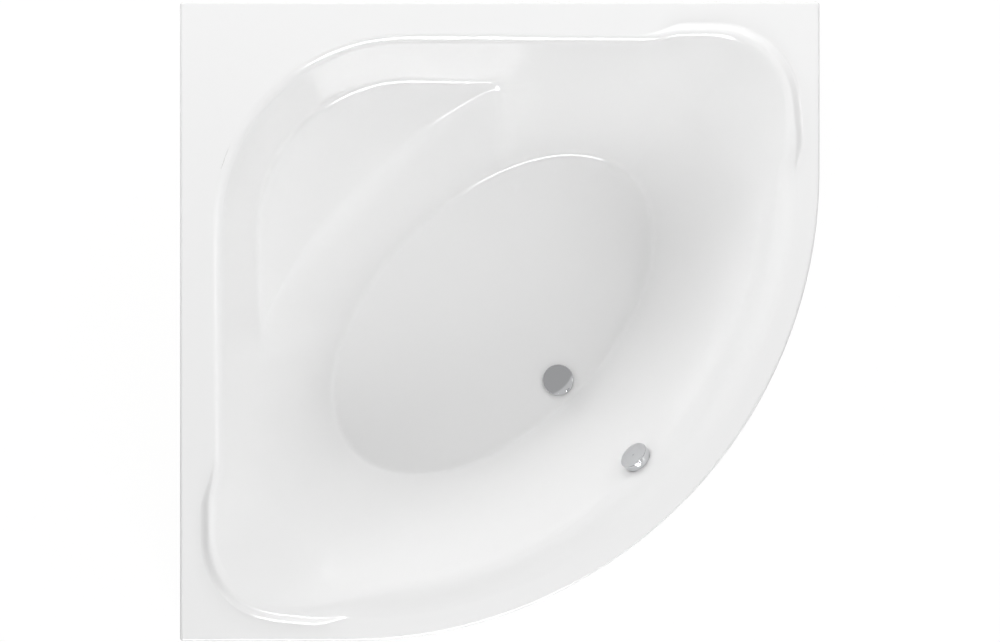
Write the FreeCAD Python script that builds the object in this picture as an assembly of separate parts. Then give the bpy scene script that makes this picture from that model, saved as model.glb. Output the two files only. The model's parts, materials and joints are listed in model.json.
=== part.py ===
"""Corner bathtub: acrylic shell, levelling feet, waste, overflow with a turning knob, and apron.

Millimetres, +Z up, origin on the floor under the middle of the square that the rim fills. The wall
corner is at -X +Y. "Along" is the distance from the wall corner towards the front, down the line of
symmetry, and "across" is the distance to the right of that line.
"""

import FreeCAD, Part
import math
import os

from FreeCAD import Placement, Rotation, Vector

# ---------------------------------------------------------------- driving dimensions

# Rim outline
side_length = 1400.0
front_straight = 372.0
outline_corner_radius = 8.0
rim_edge_radius = 6.0
skirt_depth = 45.0

# Heights
deck_height = 580.0
basin_depth = 420.0
seat_drop = 210.0
floor_fall = 0.01

# Rim deck and basin outline: its end corners are rounder below the rim
deck_width_wall = 86.0
deck_width_front = 84.0
basin_corner_radius = 405.0
basin_end_radius = 165.0
basin_end_radius_low = 330.0
end_round_share = 0.30
floor_half_across = 431.0
front_slope_run = 251.087
seat_riser_run = 132.0

# Roll from the deck into the basin, at the walls, on the lips and at the front
wall_roll = 24.0
lip_roll = 30.0
front_roll = 85.0
front_roll_angle = 8.0
front_roll_fade = 16.0

# Slope of the basin's walls: shares of its depth where the slope changes, and how hollow it is
upper_share = 0.36
lower_share = 0.60
start_share = 0.40
bow_back = 1.15
bow_side = 0.92
bow_front = 0.82

# Head-rest lips: the angles are seen from the basin centre, from the direction straight across
lip_height = 14.0
lip_to_wall_angle = 15.5
lip_to_front_angle = 19.0
lip_fade_angle = 3.5

# Corner seat
seat_wall_run = 86.0
seat_front_along = 583.0
seat_flare = 70.0
seat_flare_start = 120.0
seat_flare_run = 460.0
seat_blend = 80.0
seat_blend_lead = 58.0

# Walls of the shell
acrylic_thickness = 5.0
bond_gap = 0.3
laminate_thickness = 3.0

# Boards and battens
base_board_thickness = 18.0
base_board_inset = 25.0
waste_notch_radius = 62.0
seat_board_thickness = 15.0
seat_board_length = 300.0
seat_board_width = 90.0
batten_width = 25.0
batten_height = 20.0
batten_end_gap = 60.0
batten_side_gap = 1.2

# Leg rails and feet
rail_width = 40.0
rail_height = 25.0
rail_wall = 2.0
rail_length = 560.0
rail_offset = 300.0
foot_end_gap = 30.0
rail_screw_spread = 110.0
stud_hole_clearance = 0.5
stud_radius = 6.0
stud_above_nut = 32.77
pad_radius = 25.0
pad_height = 14.0
pad_base_height = 5.6
pad_shoulder = 5.0
pad_socket_depth = 8.0
pad_socket_wall = 4.0
nut_width = 18.0
nut_height = 10.0
thread_clearance = 0.05
seat_leg_tube = 34.0
seat_leg_wall = 2.0
seat_leg_plate = 84.0
seat_leg_plate_thickness = 4.0

# Wood screws
screw_radius = 2.2
screw_head_radius = 4.5
screw_head_height = 2.6
screw_length = 14.0
screw_edge_margin = 4.0

# Waste in the floor
drain_inset = 47.0
drain_hole_radius = 26.0
spotface_depth = 1.2
gasket_thickness = 1.5
gasket_radius = 33.0
flange_radius = 33.4
flange_thickness = 2.5
throat_radius = 23.0
throat_wall = 2.0
throat_length = 24.0
throat_end_gap = 1.0
seat_margin = 1.0
waste_flange_thickness = 4.0
waste_wall = 3.0
waste_chamber_depth = 52.0
waste_outlet_radius = 23.5
waste_outlet_length = 18.0
port_drop = 25.0
port_length = 8.0
gland_radius = 5.0
gland_length = 12.0
gland_stop = 2.0
guide_gap = 1.5
guide_bar_width = 3.0
guide_boss_radius = 7.0
guide_height = 5.0
foot_disc_radius = 6.0
foot_disc_height = 2.0
seal_seat_gap = 0.3
seal_side_gap = 0.3
seal_depth = 6.0
seal_overlap = 3.0
plug_radius = 34.0
plug_dome = 8.0
plug_gap = 0.6
plug_stem_radius = 3.0
plug_edge = 3.0
plug_round = 1.5
plug_lift = 10.5
running_clearance = 0.08

# Lift lever in the waste
lever_reach = 16.0
lever_pivot_offset = 15.0
lever_axis_rise = 16.0
lever_eye_wall = 2.0
lever_thickness = 4.0
lever_width = 8.0
lever_pin_radius = 2.0
lever_gap = 0.3

# Overflow in the front wall
overflow_inset = 51.0
overflow_hole_radius = 23.0
overflow_spot_depth = 0.8
overflow_ring_radius = 31.0
overflow_ring_thickness = 3.0
overflow_neck_wall = 2.5
overflow_neck_clearance = 0.4
overflow_neck_grip = 6.0
overflow_chamber_radius = 29.0
overflow_chamber_depth = 42.0
knob_radius = 33.0
knob_height = 17.0
knob_skirt_gap = 3.4
knob_wall = 3.5
knob_edge = 15.5
knob_round = 1.2
groove_width = 12.0
groove_depth = 2.8
groove_foot_gap = 1.5
knob_boss_inset = 1.0
spindle_cover = 1.5
socket_length = 14.0
spindle_radius = 4.0
spindle_drum_radius = 12.0
spindle_drum_length = 8.0

# Pipes and trap
overflow_pipe_radius = 16.0
overflow_pipe_wall = 1.8
overflow_pipe_bend = 32.0
overflow_pipe_run = 42.0
trap_turn = 15.0
trap_radius = 19.0
trap_wall = 2.0
trap_bend_radius = 34.0
trap_leg = 14.0
trap_rise = 4.0
trap_tail = 20.0
trap_thread_length = 14.0
outlet_radius = 20.0
outlet_length = 130.0
outlet_neck_length = 10.0
collar_thickness = 3.0
collar_clearance = 0.1
union_nut_radius = 30.0
union_nut_height = 18.0
union_nut_flat_depth = 2.5
union_nut_flats = 8
small_nut_radius = 22.0
small_nut_height = 8.0

# Cable from the knob to the waste
cable_radius = 2.5
cable_side_run = 32.0
cable_foot_run = 40.0
cable_bend = 26.0

# Apron under the curved rim
panel_thickness = 4.0
panel_side_gap = 1.5
panel_top_gap = 6.0
panel_floor_gap = 12.0
panel_foot_roll = 14.0
panel_corner_radius = 1.0
block_length = 60.0
block_width = 20.0
block_height = 22.0
clip_width = 30.0
clip_thickness = 1.5
arm_width = 30.0
arm_thickness = 3.0
arm_tab_height = 40.0
arm_screw_drop = 24.0
arm_bolt_inset = 10.0
arm_lap = 7.0
clip_gap = 0.3
CLIP_ANGLES = (-10.0, -33.0, -57.0, -80.0)

# Wall brackets
bracket_width = 40.0
bracket_thickness = 2.0
bracket_leg = 50.0
bracket_step_gap = 4.0
bracket_hole_radius = 3.0
bracket_offset = 380.0

# Grid of the basin surface
ray_count = 120
ray_crowding = 0.45

# How far a cutter runs past what it cuts, and the least size that still counts as one
cutter_reach = 8.0
tiny = 0.01

# ---------------------------------------------------------------- derived dimensions

half_side = side_length / 2
front_radius = side_length - front_straight
arc_centre = Vector(half_side - front_radius, front_radius - half_side, 0)
arc_along = math.hypot(front_straight, front_straight)
basin_front_along = arc_along + front_radius - deck_width_front
floor_front_along = basin_front_along - front_slope_run
floor_back_along = seat_front_along + seat_riser_run
floor_half_along = (floor_front_along - floor_back_along) / 2
basin_centre_along = (floor_front_along + floor_back_along) / 2
drain_along = floor_front_along - drain_inset
overflow_along = basin_front_along - overflow_inset
floor_height = deck_height - basin_depth
deck_underside = deck_height - acrylic_thickness
laminate_top_depth = acrylic_thickness + bond_gap
laminate_depth = laminate_top_depth + laminate_thickness
base_board_top = floor_height - floor_fall * drain_inset - laminate_depth
base_board_bottom = base_board_top - base_board_thickness
rail_top = base_board_bottom
rail_web_bottom = rail_top - rail_wall
up = Vector(0, 0, 1)
along_axis = Vector(1, -1, 0).normalize()
across_axis = Vector(1, 1, 0).normalize()
wall_corner = Vector(-half_side, half_side, 0)


def at(along, across, height):
    """Point at a distance along and across the line of symmetry."""
    return wall_corner + along_axis * along + across_axis * across + up * height


def facing(origin, normal):
    """Placement whose Z is the normal and whose X is across the bath."""
    side = normal.cross(across_axis)
    return Placement(origin, Rotation(across_axis, side, normal, "ZXY"))


def write(name, *pieces):
    """Writes one node, a single solid or a group of separate solids."""
    solids = [solid for piece in pieces for solid in piece.Solids]
    shape = solids[0] if len(solids) == 1 else Part.makeCompound(solids)
    volume = sum(solid.Volume for solid in solids) / 1000
    print(name, len(solids), "solids", round(volume, 1), "cm3", shape.isValid())
    shape.exportStep("parts/" + name + ".step")


# ---------------------------------------------------------------- outlines and the basin surface


def outline_wire(wall_inset, front_inset, wall_corner_round, end_round, height):
    """Closed outline inside the rim: inset from the walls and the front, with round corners."""
    west = -half_side + wall_inset
    north = half_side - wall_inset
    east = half_side - front_inset
    south = -half_side + front_inset
    radius = front_radius - front_inset
    diagonal = math.sqrt(0.5)

    def point(x, y):
        return Vector(x, y, height)

    def round_corner(x, y, size, toward_x, toward_y):
        """Middle of a corner's arc, whose tangent points lie toward_x and toward_y of the corner."""
        reach = size * (1 - diagonal)
        return point(x + toward_x * reach, y + toward_y * reach)

    start = point(west, north - wall_corner_round)
    corner_end = point(west + wall_corner_round, north)
    east_start = point(east - end_round, north)
    east_end = point(east, north - end_round)
    arc_start = point(east, arc_centre.y)
    arc_middle = Vector(arc_centre.x, arc_centre.y, height) + along_axis * radius
    arc_end = point(arc_centre.x, south)
    south_start = point(west + end_round, south)
    south_end = point(west, south + end_round)
    edges = [
        Part.Arc(start, round_corner(west, north, wall_corner_round, 1, -1), corner_end),
        Part.LineSegment(corner_end, east_start),
        Part.Arc(east_start, round_corner(east, north, end_round, -1, -1), east_end),
        Part.LineSegment(east_end, arc_start),
        Part.Arc(arc_start, arc_middle, arc_end),
        Part.LineSegment(arc_end, south_start),
        Part.Arc(south_start, round_corner(west, south, end_round, 1, 1), south_end),
        Part.LineSegment(south_end, start),
    ]
    return Part.Wire([edge.toShape() for edge in edges])


def smooth(value):
    """Eases from 0 to 1."""
    clamped = min(max(value, 0.0), 1.0)
    return clamped * clamped * (3 - 2 * clamped)


def mix(first, second, share):
    """Value that lies a share of the way from the first to the second."""
    return first + (second - first) * share


def ray_angle(index):
    """Angle of a ray from the basin centre: 0 straight across, 90 degrees towards the walls."""
    turn = 2 * math.pi * index / ray_count
    return turn - ray_crowding / 2 * math.sin(2 * turn)


def on_ray(angle, radius, height):
    return at(basin_centre_along - radius * math.sin(angle), radius * math.cos(angle), height)


def floor_at(along):
    """Height of the floor, which falls towards the waste."""
    return floor_height + floor_fall * (drain_along - along)


def floor_reach(angle):
    """Distance from the basin centre to the floor's edge."""
    across = math.cos(angle) / floor_half_across
    along = math.sin(angle) / floor_half_along
    return 1 / math.hypot(across, along)


def seat_edge(across):
    """How far along the seat's front edge is: straight in the middle, flared at both ends."""
    return seat_front_along + seat_flare * smooth((abs(across) - seat_flare_start) / seat_flare_run)


def seat_reach(angle):
    """Distance from the basin centre to the seat's front edge."""
    near = 0.0
    far = side_length
    while far - near > tiny:
        middle = (near + far) / 2
        if basin_centre_along - middle * math.sin(angle) > seat_edge(middle * math.cos(angle)):
            near = middle
        else:
            far = middle
    return near


def sideways(angle):
    """Degrees of a ray from the direction straight across: positive towards the walls."""
    return math.degrees(math.atan2(math.sin(angle), abs(math.cos(angle))))


def lip_share(angle):
    """How much of the head-rest lip there is on this ray: 1 on the lip, 0 away from it."""
    turn = sideways(angle)
    inside = lip_to_wall_angle - turn if turn > 0 else lip_to_front_angle + turn
    return smooth(inside / lip_fade_angle)


def rim_area(end_round):
    wire = outline_wire(deck_width_wall, deck_width_front, basin_corner_radius, end_round, 0)
    return Part.Face(wire)


area_at_rim = rim_area(basin_end_radius)
area_below_rim = rim_area(basin_end_radius_low)


def reach(area, angle):
    """Distance from the basin centre to the edge of an area."""
    ray = Part.makeLine(on_ray(angle, 0, 0), on_ray(angle, side_length, 0))
    return area.common(ray).Length


def wall_bow(angle):
    """How hollow the wall is on this ray: 1 is straight, less bulges into the basin."""
    toward_walls = math.sin(angle)
    return mix(bow_side, bow_back if toward_walls > 0 else bow_front, abs(toward_walls))


def roll_radius(angle):
    """Radius of the roll from the deck into the basin on this ray."""
    side_roll = mix(wall_roll, lip_roll, lip_share(angle))
    front_share = smooth((-sideways(angle) - front_roll_angle) / front_roll_fade)
    return mix(side_roll, front_roll, front_share)


def section(angle):
    """Points of the basin's section on one ray, from the deck in to the floor."""
    rim = reach(area_at_rim, angle)
    rim_below = reach(area_below_rim, angle)
    floor = floor_reach(angle)
    bow = wall_bow(angle)
    lip = lip_share(angle)
    seat_width = rim - seat_wall_run - seat_reach(angle)
    seat = smooth((seat_width + seat_blend_lead) / seat_blend)
    edge_height = floor_at(basin_centre_along - floor * math.sin(angle))

    def slope(share):
        """Radius of the wall without the seat at a share of the depth."""
        top = mix(rim, rim_below, smooth(share / end_round_share))
        return mix(top, floor, share**bow)

    free_run = rim - slope(upper_share)
    upper_run = mix(free_run, seat_wall_run, seat)
    upper_drop = mix(basin_depth * upper_share, seat_drop, seat)
    lower_run = mix(rim - slope(lower_share), rim - seat_reach(angle), seat)
    lower_drop = mix(basin_depth * lower_share, seat_drop, seat)

    start_run = mix(rim - slope(upper_share * start_share), seat_wall_run * start_share, seat)
    tilt = math.atan2(upper_drop * start_share, start_run)
    roll = roll_radius(angle)
    tangent = roll * math.tan(tilt / 2)
    rise = lip_height * lip
    roll_start = rim + rise / math.tan(tilt) + tangent
    foot = mix(deck_foot_share, 1.0, lip)
    wall_start = (tangent * math.sin(tilt) - rise) / upper_drop

    points = [(roll_start + foot * run, deck_height + rise * lift) for run, lift in LIP_ROWS]
    for share in ROLL_ROWS:
        turn = tilt * share
        height = deck_height + rise - roll * (1 - math.cos(turn))
        points.append((roll_start - roll * math.sin(turn), height))
    for row in WALL_ROWS:
        share = mix(wall_start, 1.0, row)
        free = slope(upper_share * max(share, 0.0)) - free_run * min(share, 0.0)
        height = deck_height - upper_drop * share
        points.append((mix(free, rim - upper_run * share, seat), height))
    for share in SEAT_ROWS:
        free = slope(mix(upper_share, lower_share, share))
        height = deck_height - mix(upper_drop, lower_drop, share)
        points.append((mix(free, rim - mix(upper_run, lower_run, share), seat), height))
    for share in SLOPE_ROWS:
        free = slope(mix(lower_share, 1.0, share))
        height = mix(deck_height - lower_drop, edge_height, share)
        points.append((mix(free, mix(rim - lower_run, floor, share), seat), height))
    for inset in FLOOR_ROWS:
        radius = floor - inset
        points.append((radius, floor_at(basin_centre_along - radius * math.sin(angle))))
    return [on_ray(angle, radius, height) for radius, height in points]


# Outer side of the lip: distance out from the start of the roll, and share of the lip's height
LIP_ROWS = [(24.0, 0.0), (20.0, 0.02), (15.0, 0.22), (10.0, 0.65), (4.0, 1.0)]
# Share of those distances that is left where there is no lip
deck_foot_share = 0.25
# Shares of each stretch of the section: they crowd together where the surface turns
ROLL_ROWS = [0.0, 0.22, 0.44, 0.66, 0.85, 1.0]
WALL_ROWS = [0.08, 0.2, 0.36, 0.55, 0.75, 0.9]
SEAT_ROWS = [0.0, 0.14, 0.32, 0.5, 0.66, 0.8, 0.93]
SLOPE_ROWS = [0.13, 0.28, 0.45, 0.65, 0.82, 0.93, 1.0]
# Distances in from the floor's edge
FLOOR_ROWS = [10.0, 22.0, 36.0]


def basin_grid():
    return [section(ray_angle(index)) for index in range(ray_count)]


def sunk_grid(grid, depth):
    """The grid moved down and out by a wall thickness; the deck and the floor stay plane."""
    sunk = []
    last_row = len(grid[0]) - 1
    floor_normal = Vector(floor_fall * along_axis.x, floor_fall * along_axis.y, 1).normalize()
    for index, ray in enumerate(grid):
        ahead = grid[(index + 1) % len(grid)]
        behind = grid[index - 1]
        moved = []
        for row, point in enumerate(ray):
            if row < 2:
                normal = up
            elif row > last_row - 2:
                normal = floor_normal
            else:
                normal = (ahead[row] - behind[row]).cross(ray[row + 1] - ray[row - 1]).normalize()
                normal = normal if normal.z > 0 else normal * -1
            moved.append(point - normal * depth)
        sunk.append(moved)
    return sunk


def level_floor(grid, height):
    """The same grid with its floor rows at one height."""
    flat_rows = len(FLOOR_ROWS) + 1
    return [
        ray[:-flat_rows] + [Vector(p.x, p.y, height) for p in ray[-flat_rows:]] for ray in grid
    ]


def grid_face(grid):
    """Smooth closed band through the grid, from the deck to the floor."""
    rows = len(grid[0])
    ring_knots = list(range(len(grid) + 1))
    row_knots = list(range(rows - 2))
    row_mults = [4] + [1] * (rows - 4) + [4]
    surface = Part.BSplineSurface()
    surface.buildFromPolesMultsKnots(
        grid, [1] * len(ring_knots), row_mults, ring_knots, row_knots, True, False, 3, 3
    )
    return surface.toShape()


def end_rings(face):
    """The band's closed edges, upper and lower."""
    rings = [edge for edge in face.Edges if edge.isClosed()]
    rings.sort(key=lambda edge: edge.BoundBox.ZMin)
    return rings[-1], rings[0]


def plate(outer, *holes):
    """Plane face inside one wire, around the others."""
    wires = [Part.Wire(outer)] + [Part.Wire(hole) for hole in holes]
    return Part.makeFace(wires, "Part::FaceMakerBullseye")


def closed_solid(faces):
    loose = Part.makeCompound(faces)
    loose.sewShape()
    solid = Part.makeSolid(loose.Shells[0])
    if solid.Volume < 0:
        solid.reverse()
    return solid


grid = basin_grid()


def rounded_block(outline, depth, roundness):
    """Faces of a block under an outline: its top plane, its walls with a round top edge, its foot."""
    block = Part.Face(outline).extrude(up * -depth)
    top = outline.BoundBox.ZMax
    top_edges = [edge for edge in block.Edges if edge.BoundBox.ZMin > top - depth / 2]
    block = block.makeFillet(roundness, top_edges)
    flat = [face for face in block.Faces if face.BoundBox.ZLength < roundness / 10]
    walls = [face for face in block.Faces if face.BoundBox.ZLength >= roundness / 10]
    flat.sort(key=lambda face: face.BoundBox.ZMin)
    return flat[-1], walls, flat[0]


def bath_shell():
    """Acrylic shell: deck with a turned-down skirt, and the basin."""
    inside = grid_face(grid)
    outside = grid_face(sunk_grid(grid, acrylic_thickness))
    inside_top, inside_floor = end_rings(inside)
    outside_top, outside_floor = end_rings(outside)
    outer_round = outline_corner_radius
    inner_round = outline_corner_radius - acrylic_thickness
    outer = outline_wire(0, 0, outer_round, outer_round, deck_height)
    inner = outline_wire(
        acrylic_thickness, acrylic_thickness, inner_round, inner_round, deck_underside
    )
    deck, outer_walls, outer_foot = rounded_block(outer, skirt_depth, rim_edge_radius)
    ceiling, inner_walls, inner_foot = rounded_block(
        inner, skirt_depth - acrylic_thickness, rim_edge_radius - acrylic_thickness
    )
    faces = [inside, outside, plate([inside_floor]), plate([outside_floor])]
    faces.append(plate(deck.OuterWire.Edges, [inside_top]))
    faces.append(plate(ceiling.OuterWire.Edges, [outside_top]))
    faces.append(plate(outer_foot.OuterWire.Edges, inner_foot.OuterWire.Edges))
    return closed_solid(faces + outer_walls + inner_walls)


def glassfibre_backing():
    """Laminate on the underside of the basin, level under the floor to bed the base board."""
    inside = grid_face(sunk_grid(grid, laminate_top_depth))
    outside = grid_face(level_floor(sunk_grid(grid, laminate_depth), base_board_top))
    inside_top, inside_floor = end_rings(inside)
    outside_top, outside_floor = end_rings(outside)
    edge = inside_top.extrude(up * (laminate_top_depth - laminate_depth))
    faces = [inside, outside, edge, plate([inside_floor]), plate([outside_floor])]
    return closed_solid(faces)


# ---------------------------------------------------------------- simple solids


def cylinder(radius, bottom, top, centre=Vector(0, 0, 0), direction=up):
    """Round bar between two distances from the centre along the direction."""
    return Part.makeCylinder(radius, top - bottom, centre + direction * bottom, direction)


def tube(radius, bore, bottom, top, centre=Vector(0, 0, 0), direction=up):
    outside = cylinder(radius, bottom, top, centre, direction)
    return outside.cut(cylinder(bore, bottom, top, centre, direction))


def block(low_x, high_x, low_y, high_y, low_z, high_z):
    size = (high_x - low_x, high_y - low_y, high_z - low_z)
    return Part.makeBox(*size, Vector(low_x, low_y, low_z))


def fused(first, *others):
    return first.fuse(list(others)).removeSplitter()


def mirrored(piece):
    """The same piece on the other side of the line of symmetry."""
    return piece.mirror(Vector(0, 0, 0), across_axis)


def turned(piece, degrees, centre=Vector(0, 0, 0)):
    copy = piece.copy()
    copy.rotate(centre, up, degrees)
    return copy


def placed(piece, placement):
    copy = piece.copy()
    copy.Placement = placement.multiply(copy.Placement)
    return copy


def along_frame(along, across, height):
    """Placement whose X runs along the line of symmetry."""
    return Placement(at(along, across, height), Rotation(up, -45))


def bent_tube(points, bends, radius, bore):
    """Tube along straight runs joined by tangent arcs, one radius for each inner point."""
    edges = []
    start = points[0]
    for before, corner, after, bend in zip(points, points[1:], points[2:], bends):
        inward = (corner - before).normalize()
        outward = (after - corner).normalize()
        turn = inward.getAngle(outward)
        reach = bend * math.tan(turn / 2)
        arc_start = corner - inward * reach
        arc_end = corner + outward * reach
        to_centre = (outward - inward).normalize()
        arc_middle = corner + to_centre * (bend / math.cos(turn / 2) - bend)
        edges.append(Part.LineSegment(start, arc_start))
        edges.append(Part.Arc(arc_start, arc_middle, arc_end))
        start = arc_end
    edges.append(Part.LineSegment(start, points[-1]))
    path = Part.Wire([edge.toShape() for edge in edges])
    direction = (points[1] - points[0]).normalize()

    def swept(size):
        ring = Part.Wire(Part.makeCircle(size, points[0], direction))
        return path.makePipeShell([ring], True, False)

    outside = swept(radius)
    return outside.cut(swept(bore)) if bore else outside


def wood_screw(head, direction):
    """Screw with its head seated at a point and its shank along the direction."""
    shank = cylinder(screw_radius, 0, screw_length, head, direction)
    return fused(shank, cylinder(screw_head_radius, -screw_head_height, 0, head, direction))


def screw_hole(head, direction):
    radius = screw_radius + thread_clearance
    return cylinder(radius, -screw_head_height, screw_length + screw_head_height, head, direction)


def without(piece, cutters):
    return piece.cut(Part.makeCompound(list(cutters)))


# ---------------------------------------------------------------- waste in the floor

drain_point = at(drain_along, 0, 0)
spot_height = floor_height - spotface_depth
flange_bottom = spot_height + gasket_thickness
flange_top = flange_bottom + flange_thickness
throat_bottom = flange_bottom - throat_length
waste_gasket_bottom = base_board_top - gasket_thickness
waste_flange_bottom = waste_gasket_bottom - waste_flange_thickness
chamber_bottom = waste_flange_bottom - waste_chamber_depth
waste_bottom = chamber_bottom - waste_outlet_length
chamber_bore = throat_radius + thread_clearance
chamber_radius = chamber_bore + waste_wall
outlet_bore = waste_outlet_radius - waste_wall
lever_axis_height = chamber_bottom + lever_axis_rise
stem_bottom = lever_axis_height + lever_thickness / 2 + lever_gap
port_height = waste_flange_bottom - port_drop


def waste_cutters():
    """What the waste takes out of the shell and the laminate: a level seat and the hole."""
    seat_radius = gasket_radius + seat_margin
    seat = cylinder(seat_radius, spot_height, floor_height + cutter_reach, drain_point)
    hole_bottom = base_board_top - cutter_reach
    hole = cylinder(drain_hole_radius, hole_bottom, floor_height, drain_point)
    return seat, hole


def waste_gasket(bottom):
    bore = throat_radius + running_clearance
    return tube(gasket_radius, bore, bottom, bottom + gasket_thickness, drain_point)


def drain_flange():
    rim = cylinder(flange_radius, flange_bottom, flange_top, drain_point)
    rim = rim.makeChamfer(flange_thickness / 3, [rim.Edges[0]])
    throat = cylinder(throat_radius, throat_bottom, flange_bottom, drain_point)
    bore = cylinder(throat_radius - throat_wall, throat_bottom, flange_top, drain_point)
    return fused(rim, throat).cut(bore)


def stem_guide(bore_radius, boss_radius, bottom, top, reach):
    """Cross of bars with a bored boss in the middle."""
    half = guide_bar_width / 2
    boss = cylinder(boss_radius, bottom, top)
    bar = block(-reach, reach, -half, half, bottom, top)
    cross_bar = block(-half, half, -reach, reach, bottom, top)
    return fused(boss, bar, cross_bar).cut(cylinder(bore_radius, bottom, top))


def drain_body():
    """Plastic chamber under the floor, with ports for the overflow pipe, the cable and the trap."""
    flange = cylinder(gasket_radius, waste_flange_bottom, waste_gasket_bottom, drain_point)
    chamber = cylinder(chamber_radius, chamber_bottom, waste_flange_bottom, drain_point)
    outlet = cylinder(waste_outlet_radius, waste_bottom, chamber_bottom, drain_point)
    port_centre = drain_point + up * port_height
    port_radius = overflow_pipe_radius + waste_wall
    port = cylinder(port_radius, 0, port_end, port_centre, along_axis)
    gland = cylinder(gland_radius, 0, gland_end, cable_port, cable_port_direction)
    body = fused(flange, chamber, outlet, port, gland)
    shoulder = throat_bottom - throat_end_gap
    body = body.cut(cylinder(chamber_bore, shoulder, waste_gasket_bottom, drain_point))
    body = body.cut(cylinder(outlet_bore, waste_bottom, shoulder, drain_point))
    socket = overflow_pipe_radius + running_clearance
    body = body.cut(cylinder(socket, chamber_radius, port_end, port_centre, along_axis))
    port_bore = overflow_pipe_radius - overflow_pipe_wall
    body = body.cut(cylinder(port_bore, 0, chamber_radius, port_centre, along_axis))
    cable_bore = cable_radius + running_clearance
    body = body.cut(
        cylinder(cable_bore, gland_start, gland_end, cable_port, cable_port_direction)
    )
    guide = stem_guide(
        plug_stem_radius + running_clearance,
        guide_boss_radius,
        guide_bottom,
        guide_bottom + guide_height,
        outlet_bore + waste_wall / 2,
    )
    body = fused(body, placed(guide, along_frame(drain_along, 0, 0)))
    return body.cut(lever_pin_at(thread_clearance))


guide_bottom = stem_bottom + foot_disc_height + plug_lift + guide_gap
cable_port = drain_point + up * lever_axis_height
cable_port_direction = (along_axis + across_axis).normalize()
gland_start = chamber_radius + gland_stop
gland_end = chamber_radius + gland_length
port_end = chamber_radius + port_length


def lever_pin_at(clearance):
    """Pin of the lift lever, across the chamber with its ends in the walls."""
    centre = at(drain_along - lever_pivot_offset, 0, lever_axis_height)
    half_length = math.sqrt(outlet_bore**2 - lever_pivot_offset**2) + waste_wall / 2
    return cylinder(lever_pin_radius + clearance, -half_length, half_length, centre, across_axis)


def lift_lever():
    """Rocker under the plug's stem, level at rest."""
    half = lever_width / 2
    eye_radius = lever_pin_radius + lever_eye_wall
    across = Vector(0, 1, 0)
    eye = cylinder(eye_radius, -half, half, Vector(0, 0, 0), across)
    bar = block(0, lever_reach, -half, half, -lever_thickness / 2, lever_thickness / 2)
    lever = fused(eye, bar)
    bore = lever_pin_radius + running_clearance
    lever = lever.cut(cylinder(bore, -half, half, Vector(0, 0, 0), across))
    return placed(lever, along_frame(drain_along - lever_pivot_offset, 0, lever_axis_height))


def dome(radius, bottom, height, edge, roundness):
    """Turned cap: an upright edge under a shallow spherical top, on the local axis."""
    rise = height - edge
    sphere_radius = (radius**2 + rise**2) / (2 * rise)
    top = Vector(0, 0, bottom + height)
    bend = math.asin(radius / sphere_radius) / 2
    middle = Vector(
        sphere_radius * math.sin(bend), 0, top.z - sphere_radius * (1 - math.cos(bend))
    )
    corner = Vector(radius, 0, bottom + edge)
    foot = Vector(radius, 0, bottom)
    centre = Vector(0, 0, bottom)
    outline = [
        Part.Arc(top, middle, corner),
        Part.LineSegment(corner, foot),
        Part.LineSegment(foot, centre),
        Part.LineSegment(centre, top),
    ]
    face = Part.Face(Part.Wire([piece.toShape() for piece in outline]))
    solid = face.revolve(Vector(0, 0, 0), up, 360)
    boxes = [(rim, rim.BoundBox) for rim in solid.Edges]
    level = [(rim, box) for rim, box in boxes if box.ZLength < tiny and box.XLength > radius]
    corner_rims = [rim for rim, box in level if abs(box.ZMax - corner.z) < tiny]
    return solid.makeFillet(roundness, corner_rims)


plug_bottom = flange_top + plug_gap
seal_radius = throat_radius - throat_wall - running_clearance


def plug_cap():
    """Domed cap over the flange."""
    cap = dome(plug_radius, plug_bottom, plug_dome, plug_edge, plug_round)
    cap = cap.cut(cylinder(plug_stem_radius, plug_bottom, plug_bottom + plug_dome / 2))
    return placed(cap, Placement(drain_point, Rotation()))


def plug_seal():
    """Rubber plug under the cap: it closes the throat."""
    wide = throat_radius + seal_overlap
    neck = seal_radius - seal_side_gap
    shoulder = flange_top + seal_seat_gap
    disc = tube(wide, plug_stem_radius, shoulder, plug_bottom, drain_point)
    skirt = tube(neck, plug_stem_radius, flange_top - seal_depth, shoulder, drain_point)
    return fused(disc, skirt)


def plug_stem():
    stem = cylinder(plug_stem_radius, stem_bottom, plug_bottom + plug_dome / 2, drain_point)
    foot_top = stem_bottom + foot_disc_height
    return fused(stem, cylinder(foot_disc_radius, stem_bottom, foot_top, drain_point))


# ---------------------------------------------------------------- trap

nut_bore = waste_outlet_radius + thread_clearance


def union_nut(placement):
    """Nut that draws a collar, under the origin, against the end of a threaded outlet above it."""
    lip_bottom = -collar_thickness - collar_thickness
    nut = cylinder(union_nut_radius, lip_bottom, lip_bottom + union_nut_height)
    half_flats = union_nut_radius - union_nut_flat_depth
    long = 2 * union_nut_radius
    flats = block(-long, long, -half_flats, half_flats, lip_bottom, lip_bottom + union_nut_height)
    for turn in range(union_nut_flats // 2):
        nut = nut.common(turned(flats, turn * 360 / union_nut_flats))
    nut = nut.cut(cylinder(nut_bore, -collar_thickness, union_nut_height))
    nut = nut.cut(cylinder(trap_radius + thread_clearance, lip_bottom, 0))
    return placed(nut, placement)


trap_start = at(drain_along, 0, waste_bottom)
trap_low = waste_bottom - trap_leg - trap_bend_radius
rising_along = drain_along - 2 * trap_bend_radius
trap_out_height = trap_low + 2 * trap_bend_radius + trap_rise
trap_end_along = rising_along - trap_bend_radius - trap_tail


def trap_turned(piece):
    """A piece of the trap turned about the waste, so that its outlet passes beside the seat's leg."""
    return turned(piece, trap_turn, drain_point)


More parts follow.
